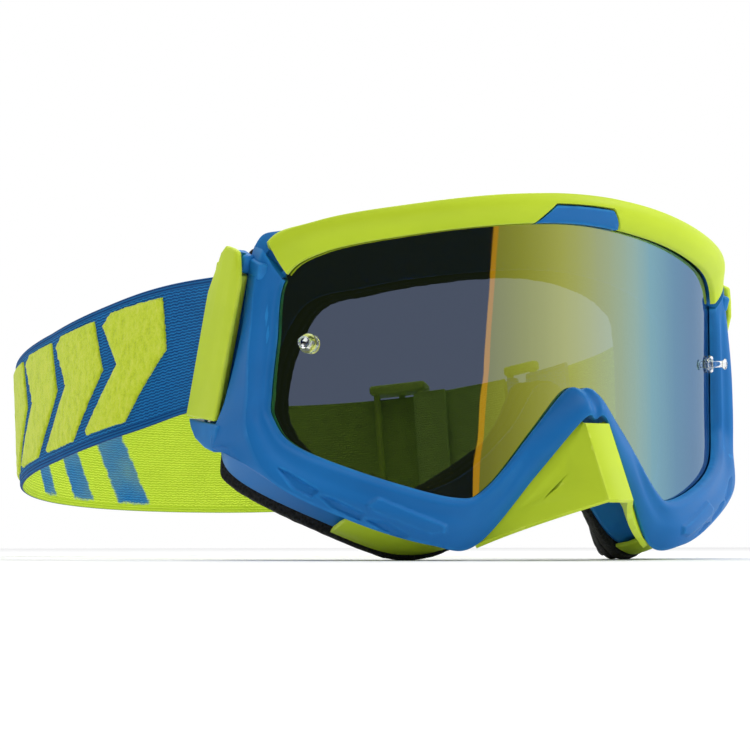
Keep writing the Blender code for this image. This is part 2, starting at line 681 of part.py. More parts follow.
def build_slider(s):
    """Three-bar slider on the strap, and the sewn loop of webbing round its last bar. Local X is radial, Y along the strap."""
    mid = polar(SLIDER_DEG, STRAP_R)
    f = empty("slider_frame", Matrix.Rotation(math.radians(SLIDER_DEG), 4, "Z"), s)
    inner_r = STRAP_R - 2 * (1.3 + GAP + STRAP_T / 2)
    o = rod("strap_slider", (STRAP_R + 2.5, 0, 0), 1.3, 48.0, lime, parts, f, sides=14)
    for name, x, y in (("slider_bar_far", STRAP_R - 2.9, 9.0), ("slider_bar_near", inner_r - 0.2, -9.0)):
        boolean(o, rod(name, (x, y, 0), 1.3, 48.0, None, cutters, f, sides=14), "UNION")
    for k, z in (("top", 22.2), ("bottom", -25.8)):
        rail = block(f"slider_rail_{k}", (inner_r - 2.2, -11.2, z), (STRAP_R + 4.2, 11.2, z + 3.6), None, cutters, f, bevel=0.8)
        boolean(o, rail, "UNION")
    loop = rod("slider_webbing_loop", (inner_r - 0.2, -9.0, 0), 3.1, STRAP_W, web_blue, parts, f, sides=16)
    stub = block("loop_stub", (inner_r - 1.6, -13.6, -STRAP_W / 2), (inner_r + 1.2, -9.0, STRAP_W / 2), None, cutters, f)
    boolean(loop, stub, "UNION")
    hole = rod("loop_hole", (inner_r - 0.2, -9.0, 0), 1.3 + GAP, 60, None, cutters, f, sides=16)
    boolean(loop, hole)
    return o


build_rim()
build_brow()
build_insert()
build_inner()
foam_ring("face_foam_base", FOAM_GAP, FOAM_GAP + FOAM_T[0], 2.6, 3.0, black)
foam_ring("face_foam_middle", 2 * FOAM_GAP + FOAM_T[0], 2 * FOAM_GAP + FOAM_T[0] + FOAM_T[1], 3.0, 2.2, black)
foam_ring("face_fleece", 3 * FOAM_GAP + sum(FOAM_T[:2]), 3 * FOAM_GAP + sum(FOAM_T), 2.2, 0.4, fleece)
build_lens()
for side, word in ((-1, "left"), (1, "right")):
    # seen from the front, left is -X
    turned(f"tear_off_post_{word}", [(0, 6.4), (1.5, 6.1), (1.75, 5.6), (1.6, 5.1), (1.05, 4.8), (1.05, -1.6), (2.3, -1.75), (2.3, -2.4), (0, -2.5)], clear_mat, parts, post_frame(side))
    turned(f"post_collar_{word}", [(1.4, 1.9), (2.3, 1.9), (2.9, 1.3), (2.9, 0.3), (1.4, 0.3), (1.4, 1.9)], clear_mat, parts, post_frame(side))
build_nose()
for side, word in ((-1, "left"), (1, "right")):
    ts = [3.15 + 0.17 * k for k in range(11)]
    secs = [chin_section(t) for t in ts]
    if side < 0:
        secs = [[Vector((-p.x, p.y, p.z)) for p in q] for q in secs]
    loft(f"chin_trim_{word}", secs, lime, parts, closed=False)
    outrigger(side, f"outrigger_{word}")
    hinge_pin(side, f"hinge_pin_{word}")
    bracket(side, f"hinge_bracket_{word}")
    strap_end(side, f"strap_end_{word}")
strap = build_strap()
build_slider(strap)
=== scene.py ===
"""Looks for the motorcycle goggles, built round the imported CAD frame.

Lengths are millimetres in the design frame, as in the part's source, until a mesh is made: SHIFT and MM take them to the row frame.
"""
import json
import math
import random
import bpy
import bmesh
from mathutils import Matrix, Vector, noise

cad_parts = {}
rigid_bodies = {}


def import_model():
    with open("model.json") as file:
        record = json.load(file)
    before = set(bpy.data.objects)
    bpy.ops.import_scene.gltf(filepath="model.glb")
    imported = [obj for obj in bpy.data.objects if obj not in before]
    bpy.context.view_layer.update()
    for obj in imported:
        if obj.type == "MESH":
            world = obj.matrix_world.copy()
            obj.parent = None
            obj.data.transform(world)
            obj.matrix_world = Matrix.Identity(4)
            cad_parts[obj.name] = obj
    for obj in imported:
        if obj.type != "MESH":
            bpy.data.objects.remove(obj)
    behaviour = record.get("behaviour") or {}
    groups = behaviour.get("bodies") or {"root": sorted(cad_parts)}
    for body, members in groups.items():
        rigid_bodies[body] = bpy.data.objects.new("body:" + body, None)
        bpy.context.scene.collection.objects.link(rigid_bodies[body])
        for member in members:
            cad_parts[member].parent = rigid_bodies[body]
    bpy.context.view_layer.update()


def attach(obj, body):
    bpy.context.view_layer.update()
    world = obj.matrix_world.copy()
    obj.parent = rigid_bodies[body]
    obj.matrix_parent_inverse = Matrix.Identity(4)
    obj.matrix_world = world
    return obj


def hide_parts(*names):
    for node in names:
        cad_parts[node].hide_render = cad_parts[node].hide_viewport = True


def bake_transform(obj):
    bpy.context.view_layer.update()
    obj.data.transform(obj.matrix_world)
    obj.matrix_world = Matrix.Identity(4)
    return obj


for o in list(bpy.data.objects):
    bpy.data.objects.remove(o)
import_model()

# ---------------------------------------------------------------- the design's sizes
MM = 0.001
SHIFT = Vector((0.07, -115.45, 3.75))
LENS_R, LENS_T, AXIS_Y, GAP = 101.0, 1.3, 102.0, 0.35
LIP_R, RIM_R, SEAT_R, WALL = LENS_R + GAP, 103.2, LENS_R - LENS_T - GAP, 2.2
FOAM_T, FOAM_GAP = (5.6, 4.6, 2.4), 0.6
STRAP_W, STRAP_T, STRAP_R = 42.0, 1.6, 105.0
STRAP_TILT = math.atan(0.14)
STRAP_CENTRE = Vector((0.0, 143.0, 47.7))
SLIDER_DEG, RING_DEG = 47.0, 17.0
HINGE_TILT, HINGE_AT, PIN_R = math.radians(22.0), Vector((87.6, 54.0, 58.5)), 1.15
POST_X, POST_Z = 72.0, 57.6
STATIONS = [
    ((0.0, 45.2),   (0.0, -7.9, 35.8),   (0.0, 1.5, 37.6),    2.4, (0.0, 27.5),   (0.0, 49.0)),
    ((4.8, 44.6),   (3.9, -7.9, 35.8),   (4.6, 1.5, 37.2),    2.4, (5.0, 25.6),   (4.8, 47.0)),
    ((15.6, 32.8),  (15.6, -1.0, 19.9),  (17.6, 5.6, 23.4),   2.0, (14.5, 14.0),  (12.5, 35.0)),
    ((29.2, 16.9),  (30.4, 7.6, 0.0),    (31.8, 13.6, 4.2),   1.8, (27.0, 2.6),   (26.5, 21.6)),
    ((38.0, 13.5),  (44.6, 9.6, 0.0),    (46.0, 17.0, 3.4),   2.0, (43.0, -0.8),  (40.0, 16.2)),
    ((58.0, 19.2),  (63.4, 19.3, 6.3),   (66.0, 28.0, 10.0),  1.8, (61.0, 7.4),   (55.5, 19.4)),
    ((75.5, 27.8),  (82.6, 31.6, 17.2),  (89.2, 45.0, 25.2),  1.3, (77.0, 18.4),  (66.0, 28.6)),
    ((80.9, 36.4),  (88.2, 38.4, 31.0),  (91.0, 57.0, 29.6),  1.0, (81.4, 27.6),  (70.2, 36.6)),
    ((81.2, 44.0),  (88.3, 38.4, 44.0),  (88.9, 52.0, 42.0),  1.0, (79.2, 40.6),  (70.8, 44.0)),
    ((80.2, 58.0),  (87.6, 38.4, 60.0),  (86.8, 46.0, 61.0),  0.9, (77.4, 58.0),  (68.8, 56.8)),
    ((78.5, 76.2),  (83.7, 37.2, 85.0),  (83.6, 43.4, 86.8),  1.2, (77.6, 80.5),  (62.6, 70.8)),
    ((70.0, 83.8),  (72.6, 23.8, 92.4),  (75.6, 36.6, 91.4),  1.8, (69.0, 89.0),  (50.0, 74.8)),
    ((50.0, 88.3),  (50.0, 8.4, 96.9),   (52.0, 20.0, 96.2),  2.0, (50.0, 93.4),  (38.0, 77.2)),
    ((25.0, 91.8),  (25.0, -0.9, 100.3), (26.0, 10.6, 99.6),  2.0, (25.0, 96.4),  (18.0, 79.6)),
    ((0.0, 93.4),   (0.0, -3.8, 101.6),  (0.0, 7.6, 101.0),   2.0, (0.0, 97.6),   (0.0, 80.5)),
]
LAST = len(STATIONS) - 1
BROW_FROM, INSERT_HALF = 10.0, 15.0


# ---------------------------------------------------------------- the design's curves
def row(index):
    index %= 2 * LAST
    sign = 1.0
    if index > LAST:
        index, sign = 2 * LAST - index, -1.0
    a, c, d, h, f, e = STATIONS[index]
    return [sign * a[0], a[1], sign * c[0], c[1], c[2], sign * d[0], d[1], d[2], h, sign * f[0], f[1], sign * e[0], e[1]]


def spline(p0, p1, p2, p3, t):
    return [0.5 * (2 * b + (c - a) * t + (2 * a - 5 * b + 4 * c - d) * t * t + (3 * b - a - 3 * c + d) * t ** 3)
            for a, b, c, d in zip(p0, p1, p2, p3)]


known = {}


def station(t):
    key = round(t, 5)
    if key not in known:
        i = math.floor(t)
        n = spline(row(i - 1), row(i), row(i + 1), row(i + 2), t - i)
        known[key] = {"A": (n[0], n[1]), "C": Vector(n[2:5]), "D": Vector(n[5:8]), "H": n[8], "F": (n[9], n[10]), "E": (n[11], n[12])}
    return known[key]


def around(per=8, fine=None, extra=()):
    """Station numbers right round: per steps between rows, or fine steps between rows 2 and 8."""
    half = []
    for i in range(LAST):
        n = fine if fine and 2 <= i < 8 else per
        half += [i + k / n for k in range(n)]
    half.append(float(LAST))
    full = half + [2 * LAST - t for t in reversed(half[1:-1])]
    return sorted(set(full) | set(extra))


def cyl(angle, radius, z):
    return Vector((radius * math.sin(angle), AXIS_Y - radius * math.cos(angle), z))


def unrolled(t):
    x, z = station(t)["A"]
    return Vector((RIM_R * math.asin(x / RIM_R), z))


def lens_offset(t, out, radius):
    p, q = unrolled(t - 0.04), unrolled(t + 0.04)
    along = (q - p).normalized()
    s = unrolled(t) + Vector((along.y, -along.x)) * out
    return cyl(s.x / RIM_R, radius, s.y)


def radial(p):
    return Vector((p.x, p.y - AXIS_Y, 0)).normalized()


def face_y(x):
    return 17.0 + 0.0076 * x * x


def on_face(x, z, back=0.0):
    n = Vector((-2 * 0.0076 * x, 1.0, 0)).normalized()
    near = min(1.0, abs(x) / 10) * max(0.0, min(1.0, (50 - abs(x)) / 30)) * max(0.0, min(1.0, (30 - z) / 14))
    n += Vector((math.copysign(0.75 * near, x), 0, 0))
    return Vector((x, face_y(x), z)) + n * back


def shrink(p, q, by):
    d = Vector((q[0] - p[0], q[1] - p[1])).normalized()
    return (p[0] + d.x * by, p[1] + d.y * by)


def pocket(t):
    u = min(t, 2 * LAST - t)
    return max(0.0, min(1.0, (u - 6.4) / 0.6, (10.6 - u) / 0.6))


def smooth(a, b, x):
    k = max(0.0, min(1.0, (x - a) / (b - a)))
    return k * k * (3 - 2 * k)


# ---------------------------------------------------------------- making meshes
def finish_mesh(name, bm, mats, angle=38.0):
    bmesh.ops.recalc_face_normals(bm, faces=bm.faces)
    mesh = bpy.data.meshes.new(name)
    bm.to_mesh(mesh)
    bm.free()
    for m in mats:
        mesh.materials.append(m)
    mesh.shade_smooth()
    mesh.set_sharp_from_angle(angle=math.radians(angle))
    o = bpy.data.objects.new(name, mesh)
    bpy.context.scene.collection.objects.link(o)
    return o


def place(p):
    return (p + SHIFT) * MM


def rounded(poly, radii, n=3):
    """A closed outline with each corner drawn as an arc of n steps."""
    out, count = [], len(poly)
    for i, p in enumerate(poly):
        r = radii[i]
        if r <= 0:
            out.append(p)
            continue
        u, v = poly[i - 1] - p, poly[(i + 1) % count] - p
        s = p + u.normalized() * min(r, u.length * 0.48)
        e = p + v.normalized() * min(r, v.length * 0.48)
        for k in range(n + 1):
            t = k / n
            out.append(s * (1 - t) ** 2 + p * 2 * t * (1 - t) + e * t * t)
    return out


def shell(name, sections, mats, closed=True, index=None, angle=38.0):
    """A solid through like sections. index gives each strip's material by its place in the section."""
    bm = bmesh.new()
    rings = [[bm.verts.new(place(p)) for p in s] for s in sections]
    n = len(rings[0])
    for a, b in (zip(rings, rings[1:] + rings[:1]) if closed else zip(rings, rings[1:])):
        for i in range(n):
            f = bm.faces.new((a[i], a[(i + 1) % n], b[(i + 1) % n], b[i]))
            if index:
                f.material_index = index(i)
    if not closed:
        bm.faces.new(rings[0])
        bm.faces.new(list(reversed(rings[-1])))
    return finish_mesh(name, bm, mats, angle)


def apply(o):
    """The object with its modifiers applied."""
    bpy.context.view_layer.update()
    made = bpy.data.meshes.new_from_object(o.evaluated_get(bpy.context.evaluated_depsgraph_get()))
    o.modifiers.clear()
    o.data = made
    return o


def union(first, others, operation="UNION"):
    for other in others:
        m = first.modifiers.new("b", "BOOLEAN")
        m.operation, m.object, m.solver = operation, other, "EXACT"
    apply(first)
    for other in others:
        bpy.data.objects.remove(other)
    return first


def smooth_again(o, angle=38.0):
    o.data.shade_smooth()
    o.data.set_sharp_from_angle(angle=math.radians(angle))
    return o


# ---------------------------------------------------------------- materials
class Look:
    """A Principled material and short ways to add nodes to it."""

    def __init__(self, name, colour=None, roughness=0.5, **sockets):
        self.m = bpy.data.materials.new(name)
        self.m.use_nodes = True
        self.nt = self.m.node_tree
        self.b = self.nt.nodes["Principled BSDF"]
        if colour:
            self.b.inputs["Base Color"].default_value = (*colour, 1)
        self.b.inputs["Roughness"].default_value = roughness
        for k, v in sockets.items():
            self.b.inputs[k.replace("_", " ")].default_value = v

    def node(self, kind, values=None, **props):
        n = self.nt.nodes.new("ShaderNode" + kind)
        for k, v in props.items():
            setattr(n, k, v)
        for k, v in (values or {}).items():
            if isinstance(v, bpy.types.NodeSocket):
                self.nt.links.new(v, n.inputs[k])
            else:
                n.inputs[k].default_value = v
        return n

    def math(self, op, *args):
        return self.node("Math", dict(enumerate(args)), operation=op).outputs[0]

    def coord(self, kind="Object"):
        return self.node("TexCoord").outputs[kind]

    def scaled(self, vector, scale):
        return self.node("Mapping", {"Vector": vector, "Scale": scale}).outputs[0]

    def noise(self, vector, scale, detail=2.0, rough=0.5):
        return self.node("TexNoise", {"Vector": vector, "Scale": scale, "Detail": detail, "Roughness": rough}).outputs["Fac"]

    def range(self, value, a, b, c=0.0, d=1.0):
        return self.node("MapRange", {"Value": value, "From Min": a, "From Max": b, "To Min": c, "To Max": d}).outputs[0]

    def mix(self, fac, a, b):
        n = self.node("Mix", data_type="RGBA")
        for k, v in ((0, fac), (6, a), (7, b)):
            if isinstance(v, bpy.types.NodeSocket):
                self.nt.links.new(v, n.inputs[k])
            else:
                n.inputs[k].default_value = v if k == 0 else (*v, 1)
        return n.outputs[2]

    def ramp(self, fac, stops, mode="LINEAR"):
        n = self.node("ValToRGB", {"Fac": fac})
        n.color_ramp.interpolation = mode
        while len(n.color_ramp.elements) < len(stops):
            n.color_ramp.elements.new(0.5)
        for e, (at, colour) in zip(n.color_ramp.elements, stops):
            e.position, e.color = at, (*colour, 1)
        return n.outputs[0]

    def set(self, socket, output):
        self.nt.links.new(output, self.b.inputs[socket])

    def bump(self, height, strength, distance):
        n = self.node("Bump", {"Height": height, "Strength": strength, "Distance": distance})
        self.set("Normal", n.outputs[0])


def moulded(name, colour, dark, light, roughness):
    """Soft-touch moulded plastic: a fine spark-eroded grain, faint flow marks, paler convex edges that are a painted
    highlight.
    """
    k = Look(name, colour, roughness)
    at = k.coord()
    flow = k.noise(k.scaled(at, (1, 1, 1.6)), 38, 3)
    base = k.mix(k.range(flow, 0.35, 0.68), dark, colour)
    # painted highlight: convex edges, found by pointiness, are mixed towards the lighter colour and broken up by noise
    edge = k.range(k.node("NewGeometry").outputs["Pointiness"], 0.512, 0.56)
    painted_edge_highlight = k.math("MULTIPLY", edge, k.range(k.noise(at, 240, 3), 0.35, 0.65, 0.25, 0.8))
    k.set("Base Color", k.mix(painted_edge_highlight, base, light))
    grain = k.noise(at, 3400, 2, 0.6)
    k.set("Roughness", k.range(k.math("ADD", k.math("MULTIPLY", grain, 0.5), flow), 0.5, 1.1, roughness - 0.05, roughness + 0.09))
    k.bump(grain, 0.16, 0.00012)
    k.b.inputs["Specular IOR Level"].default_value = 0.22
    return k.m


def foam(name, low, high, cells, sheen):
    k = Look(name, low, 1.0)
    at = k.coord()
    v = k.node("TexVoronoi", {"Vector": at, "Scale": cells}, feature="F1").outputs["Distance"]
    n = k.noise(at, cells * 1.7, 4, 0.7)
    h = k.math("ADD", k.math("MULTIPLY", v, 0.7), k.math("MULTIPLY", n, 0.6))
    k.set("Base Color", k.ramp(h, [(0.25, low), (0.85, high)]))
    k.bump(h, 0.85, 0.0006)
    k.b.inputs["Sheen Weight"].default_value = sheen
    k.b.inputs["Sheen Roughness"].default_value = 0.6
    k.b.inputs["Specular IOR Level"].default_value = 0.15
    return k.m


def webbing(name, colour, dark, light, stripe=None):
    """Woven elastic. UV is metres along and across the webbing: fine cross ribs, a zigzag twill, darker woven edges."""
    k = Look(name, colour, 0.85)
    uv = k.node("SeparateXYZ", {0: k.coord("UV")})
    u, v = uv.outputs[0], uv.outputs[1]
    drift = k.math("MULTIPLY", k.math("SUBTRACT", k.noise(k.coord(), 900, 3, 0.6), 0.5), 0.0007)
    zig = k.math("PINGPONG", k.math("ADD", u, k.math("MULTIPLY", drift, 2.0)), 0.0012)
    rows = k.math("SINE", k.math("MULTIPLY", k.math("ADD", k.math("ADD", v, drift), k.math("MULTIPLY", zig, 0.22)), 2 * math.pi / 0.00092))
    ribs = k.math("SINE", k.math("MULTIPLY", k.math("ADD", u, k.math("MULTIPLY", v, 0.12)), 2 * math.pi / 0.0006))
    edge = k.range(k.math("ABSOLUTE", v), 0.0186, 0.0192)
    hem = k.math("SINE", k.math("MULTIPLY", v, 2 * math.pi / 0.0009))
    body = k.math("ADD", k.math("MULTIPLY", rows, 0.34), k.math("MULTIPLY", ribs, 0.16))
    weave = k.node("Mix", {0: edge, 2: body, 3: k.math("MULTIPLY", hem, 0.4)}, data_type="FLOAT").outputs[0]
    fuzz = k.noise(k.scaled(k.coord(), (1, 1, 1)), 2600, 3, 0.7)
    height = k.math("ADD", k.math("ADD", weave, 0.5), k.math("MULTIPLY", fuzz, 0.35))
    shade = k.range(height, 0.15, 1.15)
    base = k.ramp(shade, [(0.22, dark), (0.52, colour), (0.95, light)])
    if stripe:
        wobble = k.math("MULTIPLY", k.math("SUBTRACT", k.noise(k.coord(), 420, 4, 0.7), 0.5), 0.0034)
        s = k.math("ADD", k.math("ADD", u, k.math("MULTIPLY", v, stripe["lean"])), wobble)
        part = k.range(s, stripe["from"], stripe["to"])
        on = k.ramp(part, [(0.0, (0, 0, 0))] + [(p, (c, c, c)) for p, c in stripe["stops"]])
        low = k.range(k.math("ADD", v, wobble), stripe["low"], stripe["low"] + 0.0012, 0.0, 1.0)
        fac = k.math("MULTIPLY", on, low)
        base = k.mix(fac, base, k.ramp(shade, [(0.0, stripe["dark"]), (0.6, stripe["colour"]), (1.0, stripe["light"])]))
    tone = k.range(k.noise(k.coord(), 60, 3), 0.3, 0.7, 0.0, 0.22)
    base = k.mix(tone, base, dark)
    k.set("Base Color", k.mix(k.math("MULTIPLY", edge, 0.45), base, dark))
    k.bump(height, 0.8, 0.00028)
    k.b.inputs["Sheen Weight"].default_value = 0.05
    k.b.inputs["Sheen Roughness"].default_value = 0.5
    k.b.inputs["Specular IOR Level"].default_value = 0.1
    return k.m


def flock(name, colour, dark, light):
    """Raised short-pile print."""
    k = Look(name, colour, 1.0)
    at = k.coord()
    pile = k.noise(at, 1500, 5, 0.75)
    tuft = k.noise(k.scaled(at, (1, 1, 0.6)), 520, 3, 0.6)
    h = k.math("ADD", k.math("MULTIPLY", pile, 0.6), k.math("MULTIPLY", tuft, 0.6))
    k.set("Base Color", k.ramp(h, [(0.34, dark), (0.58, colour), (0.85, light)]))
    k.bump(h, 1.0, 0.0007)
    k.b.inputs["Sheen Weight"].default_value = 0.35
    k.b.inputs["Sheen Roughness"].default_value = 0.4
    k.b.inputs["Specular IOR Level"].default_value = 0.1
    return k.m


# the third colour of each set is the painted highlight laid on convex edges of the moulded plastic
BLUE, BLUE_D, BLUE_EDGE_HIGHLIGHT = (0.008, 0.170, 0.500), (0.007, 0.150, 0.450), (0.02, 0.27, 0.66)
LIME, LIME_D, LIME_EDGE_HIGHLIGHT = (0.60, 0.77, 0.030), (0.56, 0.725, 0.028), (0.72, 0.86, 0.10)
blue = moulded("moulded_blue", BLUE, BLUE_D, BLUE_EDGE_HIGHLIGHT, 0.47)
lime = moulded("moulded_lime", LIME, LIME_D, LIME_EDGE_HIGHLIGHT, 0.46)
foam_black = foam("open_cell_foam", (0.004, 0.004, 0.004), (0.028, 0.028, 0.026), 1100, 0.05)
foam_fine = foam("fine_foam", (0.006, 0.006, 0.0065), (0.035, 0.035, 0.036), 1700, 0.08)
fleece = foam("fleece_black", (0.010, 0.010, 0.011), (0.050, 0.050, 0.052), 2300, 0.3)
web_blue = webbing("webbing_blue", (0.006, 0.150, 0.44), (0.003, 0.050, 0.19), (0.02, 0.27, 0.66))
web_lime = webbing("webbing_lime", (0.50, 0.68, 0.03), (0.36, 0.52, 0.02), (0.66, 0.82, 0.08), {
    "lean": 0.45, "from": 0.175, "to": 0.245, "low": -0.0188, "colour": (0.010, 0.14, 0.40), "dark": (0.006, 0.09, 0.26), "light": (0.03, 0.25, 0.55),
    "stops": [(0.055, 0), (0.07, 1), (0.18, 1), (0.195, 0), (0.343, 0), (0.357, 1), (0.493, 1), (0.507, 0), (0.672, 0), (0.686, 1), (0.874, 1), (0.888, 0)]})
# a paler copy of the lime webbing without the stripe, for the return run and the short webbing's inner side: painted
# light, brighter to stand in for light on the runs seen through the lens
web_lime_plain_painted_light = webbing("webbing_lime_plain_painted_light", (0.62, 0.83, 0.07), (0.44, 0.62, 0.04), (0.76, 0.92, 0.14))
flock_lime = flock("flock_lime", (0.72, 0.88, 0.04), (0.47, 0.63, 0.02), (0.88, 0.97, 0.14))
thread = webbing("thread_blue", (0.02, 0.16, 0.45), (0.01, 0.07, 0.25), (0.05, 0.3, 0.7))
thread_lime = flock("thread_lime", (0.55, 0.70, 0.04), (0.36, 0.50, 0.015), (0.75, 0.86, 0.12))

steel = Look("brushed_pin", (0.58, 0.58, 0.60), 0.28, Metallic=1.0)
ring_marks = steel.noise(steel.scaled(steel.coord(), (1, 1, 14)), 900, 3)
steel.set("Roughness", steel.range(ring_marks, 0.3, 0.7, 0.2, 0.42))
steel.set("Base Color", steel.mix(ring_marks, (0.45, 0.45, 0.47), (0.68, 0.68, 0.70)))
steel.bump(ring_marks, 0.1, 0.00005)
steel = steel.m

clear = Look("clear_post", (0.94, 0.96, 0.97), 0.06, Transmission_Weight=1.0, IOR=1.47)
swirl = clear.noise(clear.coord(), 500, 2)
clear.set("Roughness", clear.range(swirl, 0.3, 0.7, 0.03, 0.10))
clear.bump(swirl, 0.08, 0.0001)
clear = clear.m

# the lens: a mirror coating whose colour shifts with the angle it is seen at, over smoke-grey plastic
coat = Look("lens_coating", (0.5, 0.5, 0.2), 0.035, Metallic=1.0)
facing = coat.node("LayerWeight", {"Blend": 0.5}).outputs["Facing"]
coat.set("Base Color", coat.ramp(facing, [
    (0.0, (0.85, 0.86, 0.09)), (0.09, (0.82, 0.86, 0.10)), (0.16, (0.83, 0.87, 0.18)), (0.25, (0.62, 0.71, 0.37)),
    (0.43, (0.30, 0.56, 0.66)), (0.55, (0.22, 0.42, 0.60)), (0.67, (0.20, 0.36, 0.56)), (1.0, (0.20, 0.35, 0.54))]))
coat.b.inputs["Specular Tint"].default_value = (0.7, 0.78, 0.88, 1)
smear = coat.noise(coat.scaled(coat.coord(), (1, 1, 0.25)), 70, 4)
coat.set("Roughness", coat.range(smear, 0.35, 0.75, 0.022, 0.06))
coat.b.inputs["Alpha"].default_value = 0.70
coat = coat.m
lens_back = Look("lens_smoke", (0.012, 0.014, 0.02), 0.12)
haze = lens_back.noise(lens_back.coord(), 60, 3)
lens_back.set("Roughness", lens_back.range(haze, 0.3, 0.7, 0.08, 0.2))
smoke = lens_back.node("BsdfTransparent", {"Color": (0.215, 0.265, 0.43, 1)})
both = lens_back.node("MixShader", {0: 0.06})
lens_back.nt.links.new(smoke.outputs[0], both.inputs[1])
lens_back.nt.links.new(lens_back.b.outputs[0], both.inputs[2])
lens_back.nt.links.new(both.outputs[0], lens_back.nt.nodes["Material Output"].inputs["Surface"])
lens_back = lens_back.m
lens_edge = Look("lens_edge", (0.004, 0.005, 0.008), 0.35)
grind = lens_edge.noise(lens_edge.coord(), 1200, 3)
lens_edge.set("Roughness", lens_edge.range(grind, 0.3, 0.7, 0.25, 0.5))
lens_edge.bump(grind, 0.2, 0.00005)
lens_edge = lens_edge.m


# ---------------------------------------------------------------- rim
def front(t, share, depth=0.0):
    """A point on the rim's front: share 0 at the lens edge, 1 at the outer corner, a smooth arch through the crest."""
    s = station(t)
    a0, c = lens_offset(t, 0.0, RIM_R), s["C"]
    mid = a0.lerp(c, 0.5)
    b = mid + radial(mid) * s["H"]
    inward, back = (a0 - c).normalized(), (s["D"] - c).normalized()
    a = lens_offset(t, 0.0, RIM_R - depth)
    bb = b - radial(b) * depth
    cc = c + (inward + back).normalized() * depth * 1.3
    k = bb * 2 - (a + cc) / 2
    return a * (1 - share) ** 2 + k * 2 * share * (1 - share) + cc * share * share


# shapes pressed into, or standing out of, the rim's front: outlines by arc length round the lens and height
RELIEF = [
    (-0.95, 0.8, [(88.8, 21.8), (86.4, 20.8), (77.6, 15.4), (79.6, 13.9), (84.2, 15.9)]),
    (-0.90, 0.8, [(77.0, 13.9), (74.0, 13.3), (65.4, 9.0), (66.4, 7.2), (74.0, 10.8)]),
    (-0.85, 0.8, [(64.5, 7.2), (59.2, 6.6), (52.6, 2.4), (55.2, 1.9)]),
    (0.85, 0.9, [(64.3, 11.4), (61.3, 13.6), (42.3, 5.7), (42.5, 3.5), (46.8, 2.9), (62.8, 9.5)]),
]


def inside(poly, x, y):
    """Signed distance into a convex or simple outline, positive inside."""
    best, odd, n = 1e9, False, len(poly)
    for i in range(n):
        (x1, y1), (x2, y2) = poly[i], poly[(i + 1) % n]
        dx, dy = x2 - x1, y2 - y1
        k = max(0.0, min(1.0, ((x - x1) * dx + (y - y1) * dy) / (dx * dx + dy * dy)))
        best = min(best, math.hypot(x - x1 - k * dx, y - y1 - k * dy))
        if (y1 > y) != (y2 > y) and x < (x2 - x1) * (y - y1) / (y2 - y1) + x1:
            odd = not odd
    return best if odd else -best


def relief(p):
    arc, z = abs(RIM_R * math.atan2(p.x, AXIS_Y - p.y)), p.z
    rise = 0.0
    for height, soft, poly in RELIEF:
        if not (min(q[0] for q in poly) - 2 < arc < max(q[0] for q in poly) + 2):
            continue
        rise += height * smooth(-soft / 2, soft / 2, inside(poly, arc, z))
    return rise


def rim_front(t, lo, hi, n, depth=0.0):
    out = []
    u = min(t, 2 * LAST - t)
    bead = 0.45 * smooth(2.0, 2.6, u) * smooth(10.0, 9.4, u)
    for i in range(n + 1):
        share = lo + (hi - lo) * i / n
        p = front(t, share, depth)
        up = radial(p)
        if not depth:
            lift = bead * (math.exp(-((share - 0.13) / 0.10) ** 2) - 0.9 * math.exp(-((share - 0.40) / 0.14) ** 2))
            p = p + up * (lift + relief(p))
        out.append(p)
    return out


def rim_section(t, recess):
    s = station(t)
    d, c = s["D"], s["C"]
    a0 = lens_offset(t, 0.0, RIM_R)
    inward = (a0 - c).normalized()
    faces = rim_front(t, 0.035, 0.955, 30, recess)
    if recess:
        lip_front = lens_offset(t, 1.6, LIP_R + 0.75)
        faces[0] = lens_offset(t, 1.9, LIP_R + 0.9)
    else:
        lip_front = front(t, 0.0) * 0.6 + lens_offset(t, 0.0, LIP_R) * 0.4
    lip_back = lens_offset(t, 0.0 if not recess else 1.6, LIP_R)
    wall = [front(t, 1.0, recess).lerp(c.lerp(d, 0.5) + inward * recess, 0.12 + 0.2 * k) for k in range(5)]
    rear = rounded([c.lerp(d, 0.5) + inward * recess, d, d + inward * (WALL - 0.5), lens_offset(t, 4.6, LIP_R - 2.4), lens_offset(t, 4.2, LIP_R), lip_back, lip_front],
                   [0, 0.7, 0.6, 0.5, 0.4, 0, 0])
    return faces + wall + rear


def build_rim():
    eps = 0.02
    lo, hi = BROW_FROM, 2 * LAST - BROW_FROM
    ts = [t for t in around(12, 34, (lo - eps, lo + eps, hi - eps, hi + eps)) if t not in (lo, hi)]
    o = shell("rim", [rim_section(t, 3.2 if lo < t < hi else 0.0) for t in ts], [blue])
    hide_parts("outer_rim")
    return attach(o, "frame")


# ---------------------------------------------------------------- brow trim and its insert
def notch(x):
    return 0.62 * max(0.0, min(1.0, (INSERT_HALF - abs(x)) / 5.0))


def insert_t(x):
    lo, hi = LAST - 1.0, LAST + 1.0
    for _ in range(40):
        mid = (lo + hi) / 2
        if station(mid)["A"][0] > x:
            lo = mid
        else:
            hi = mid
    return lo


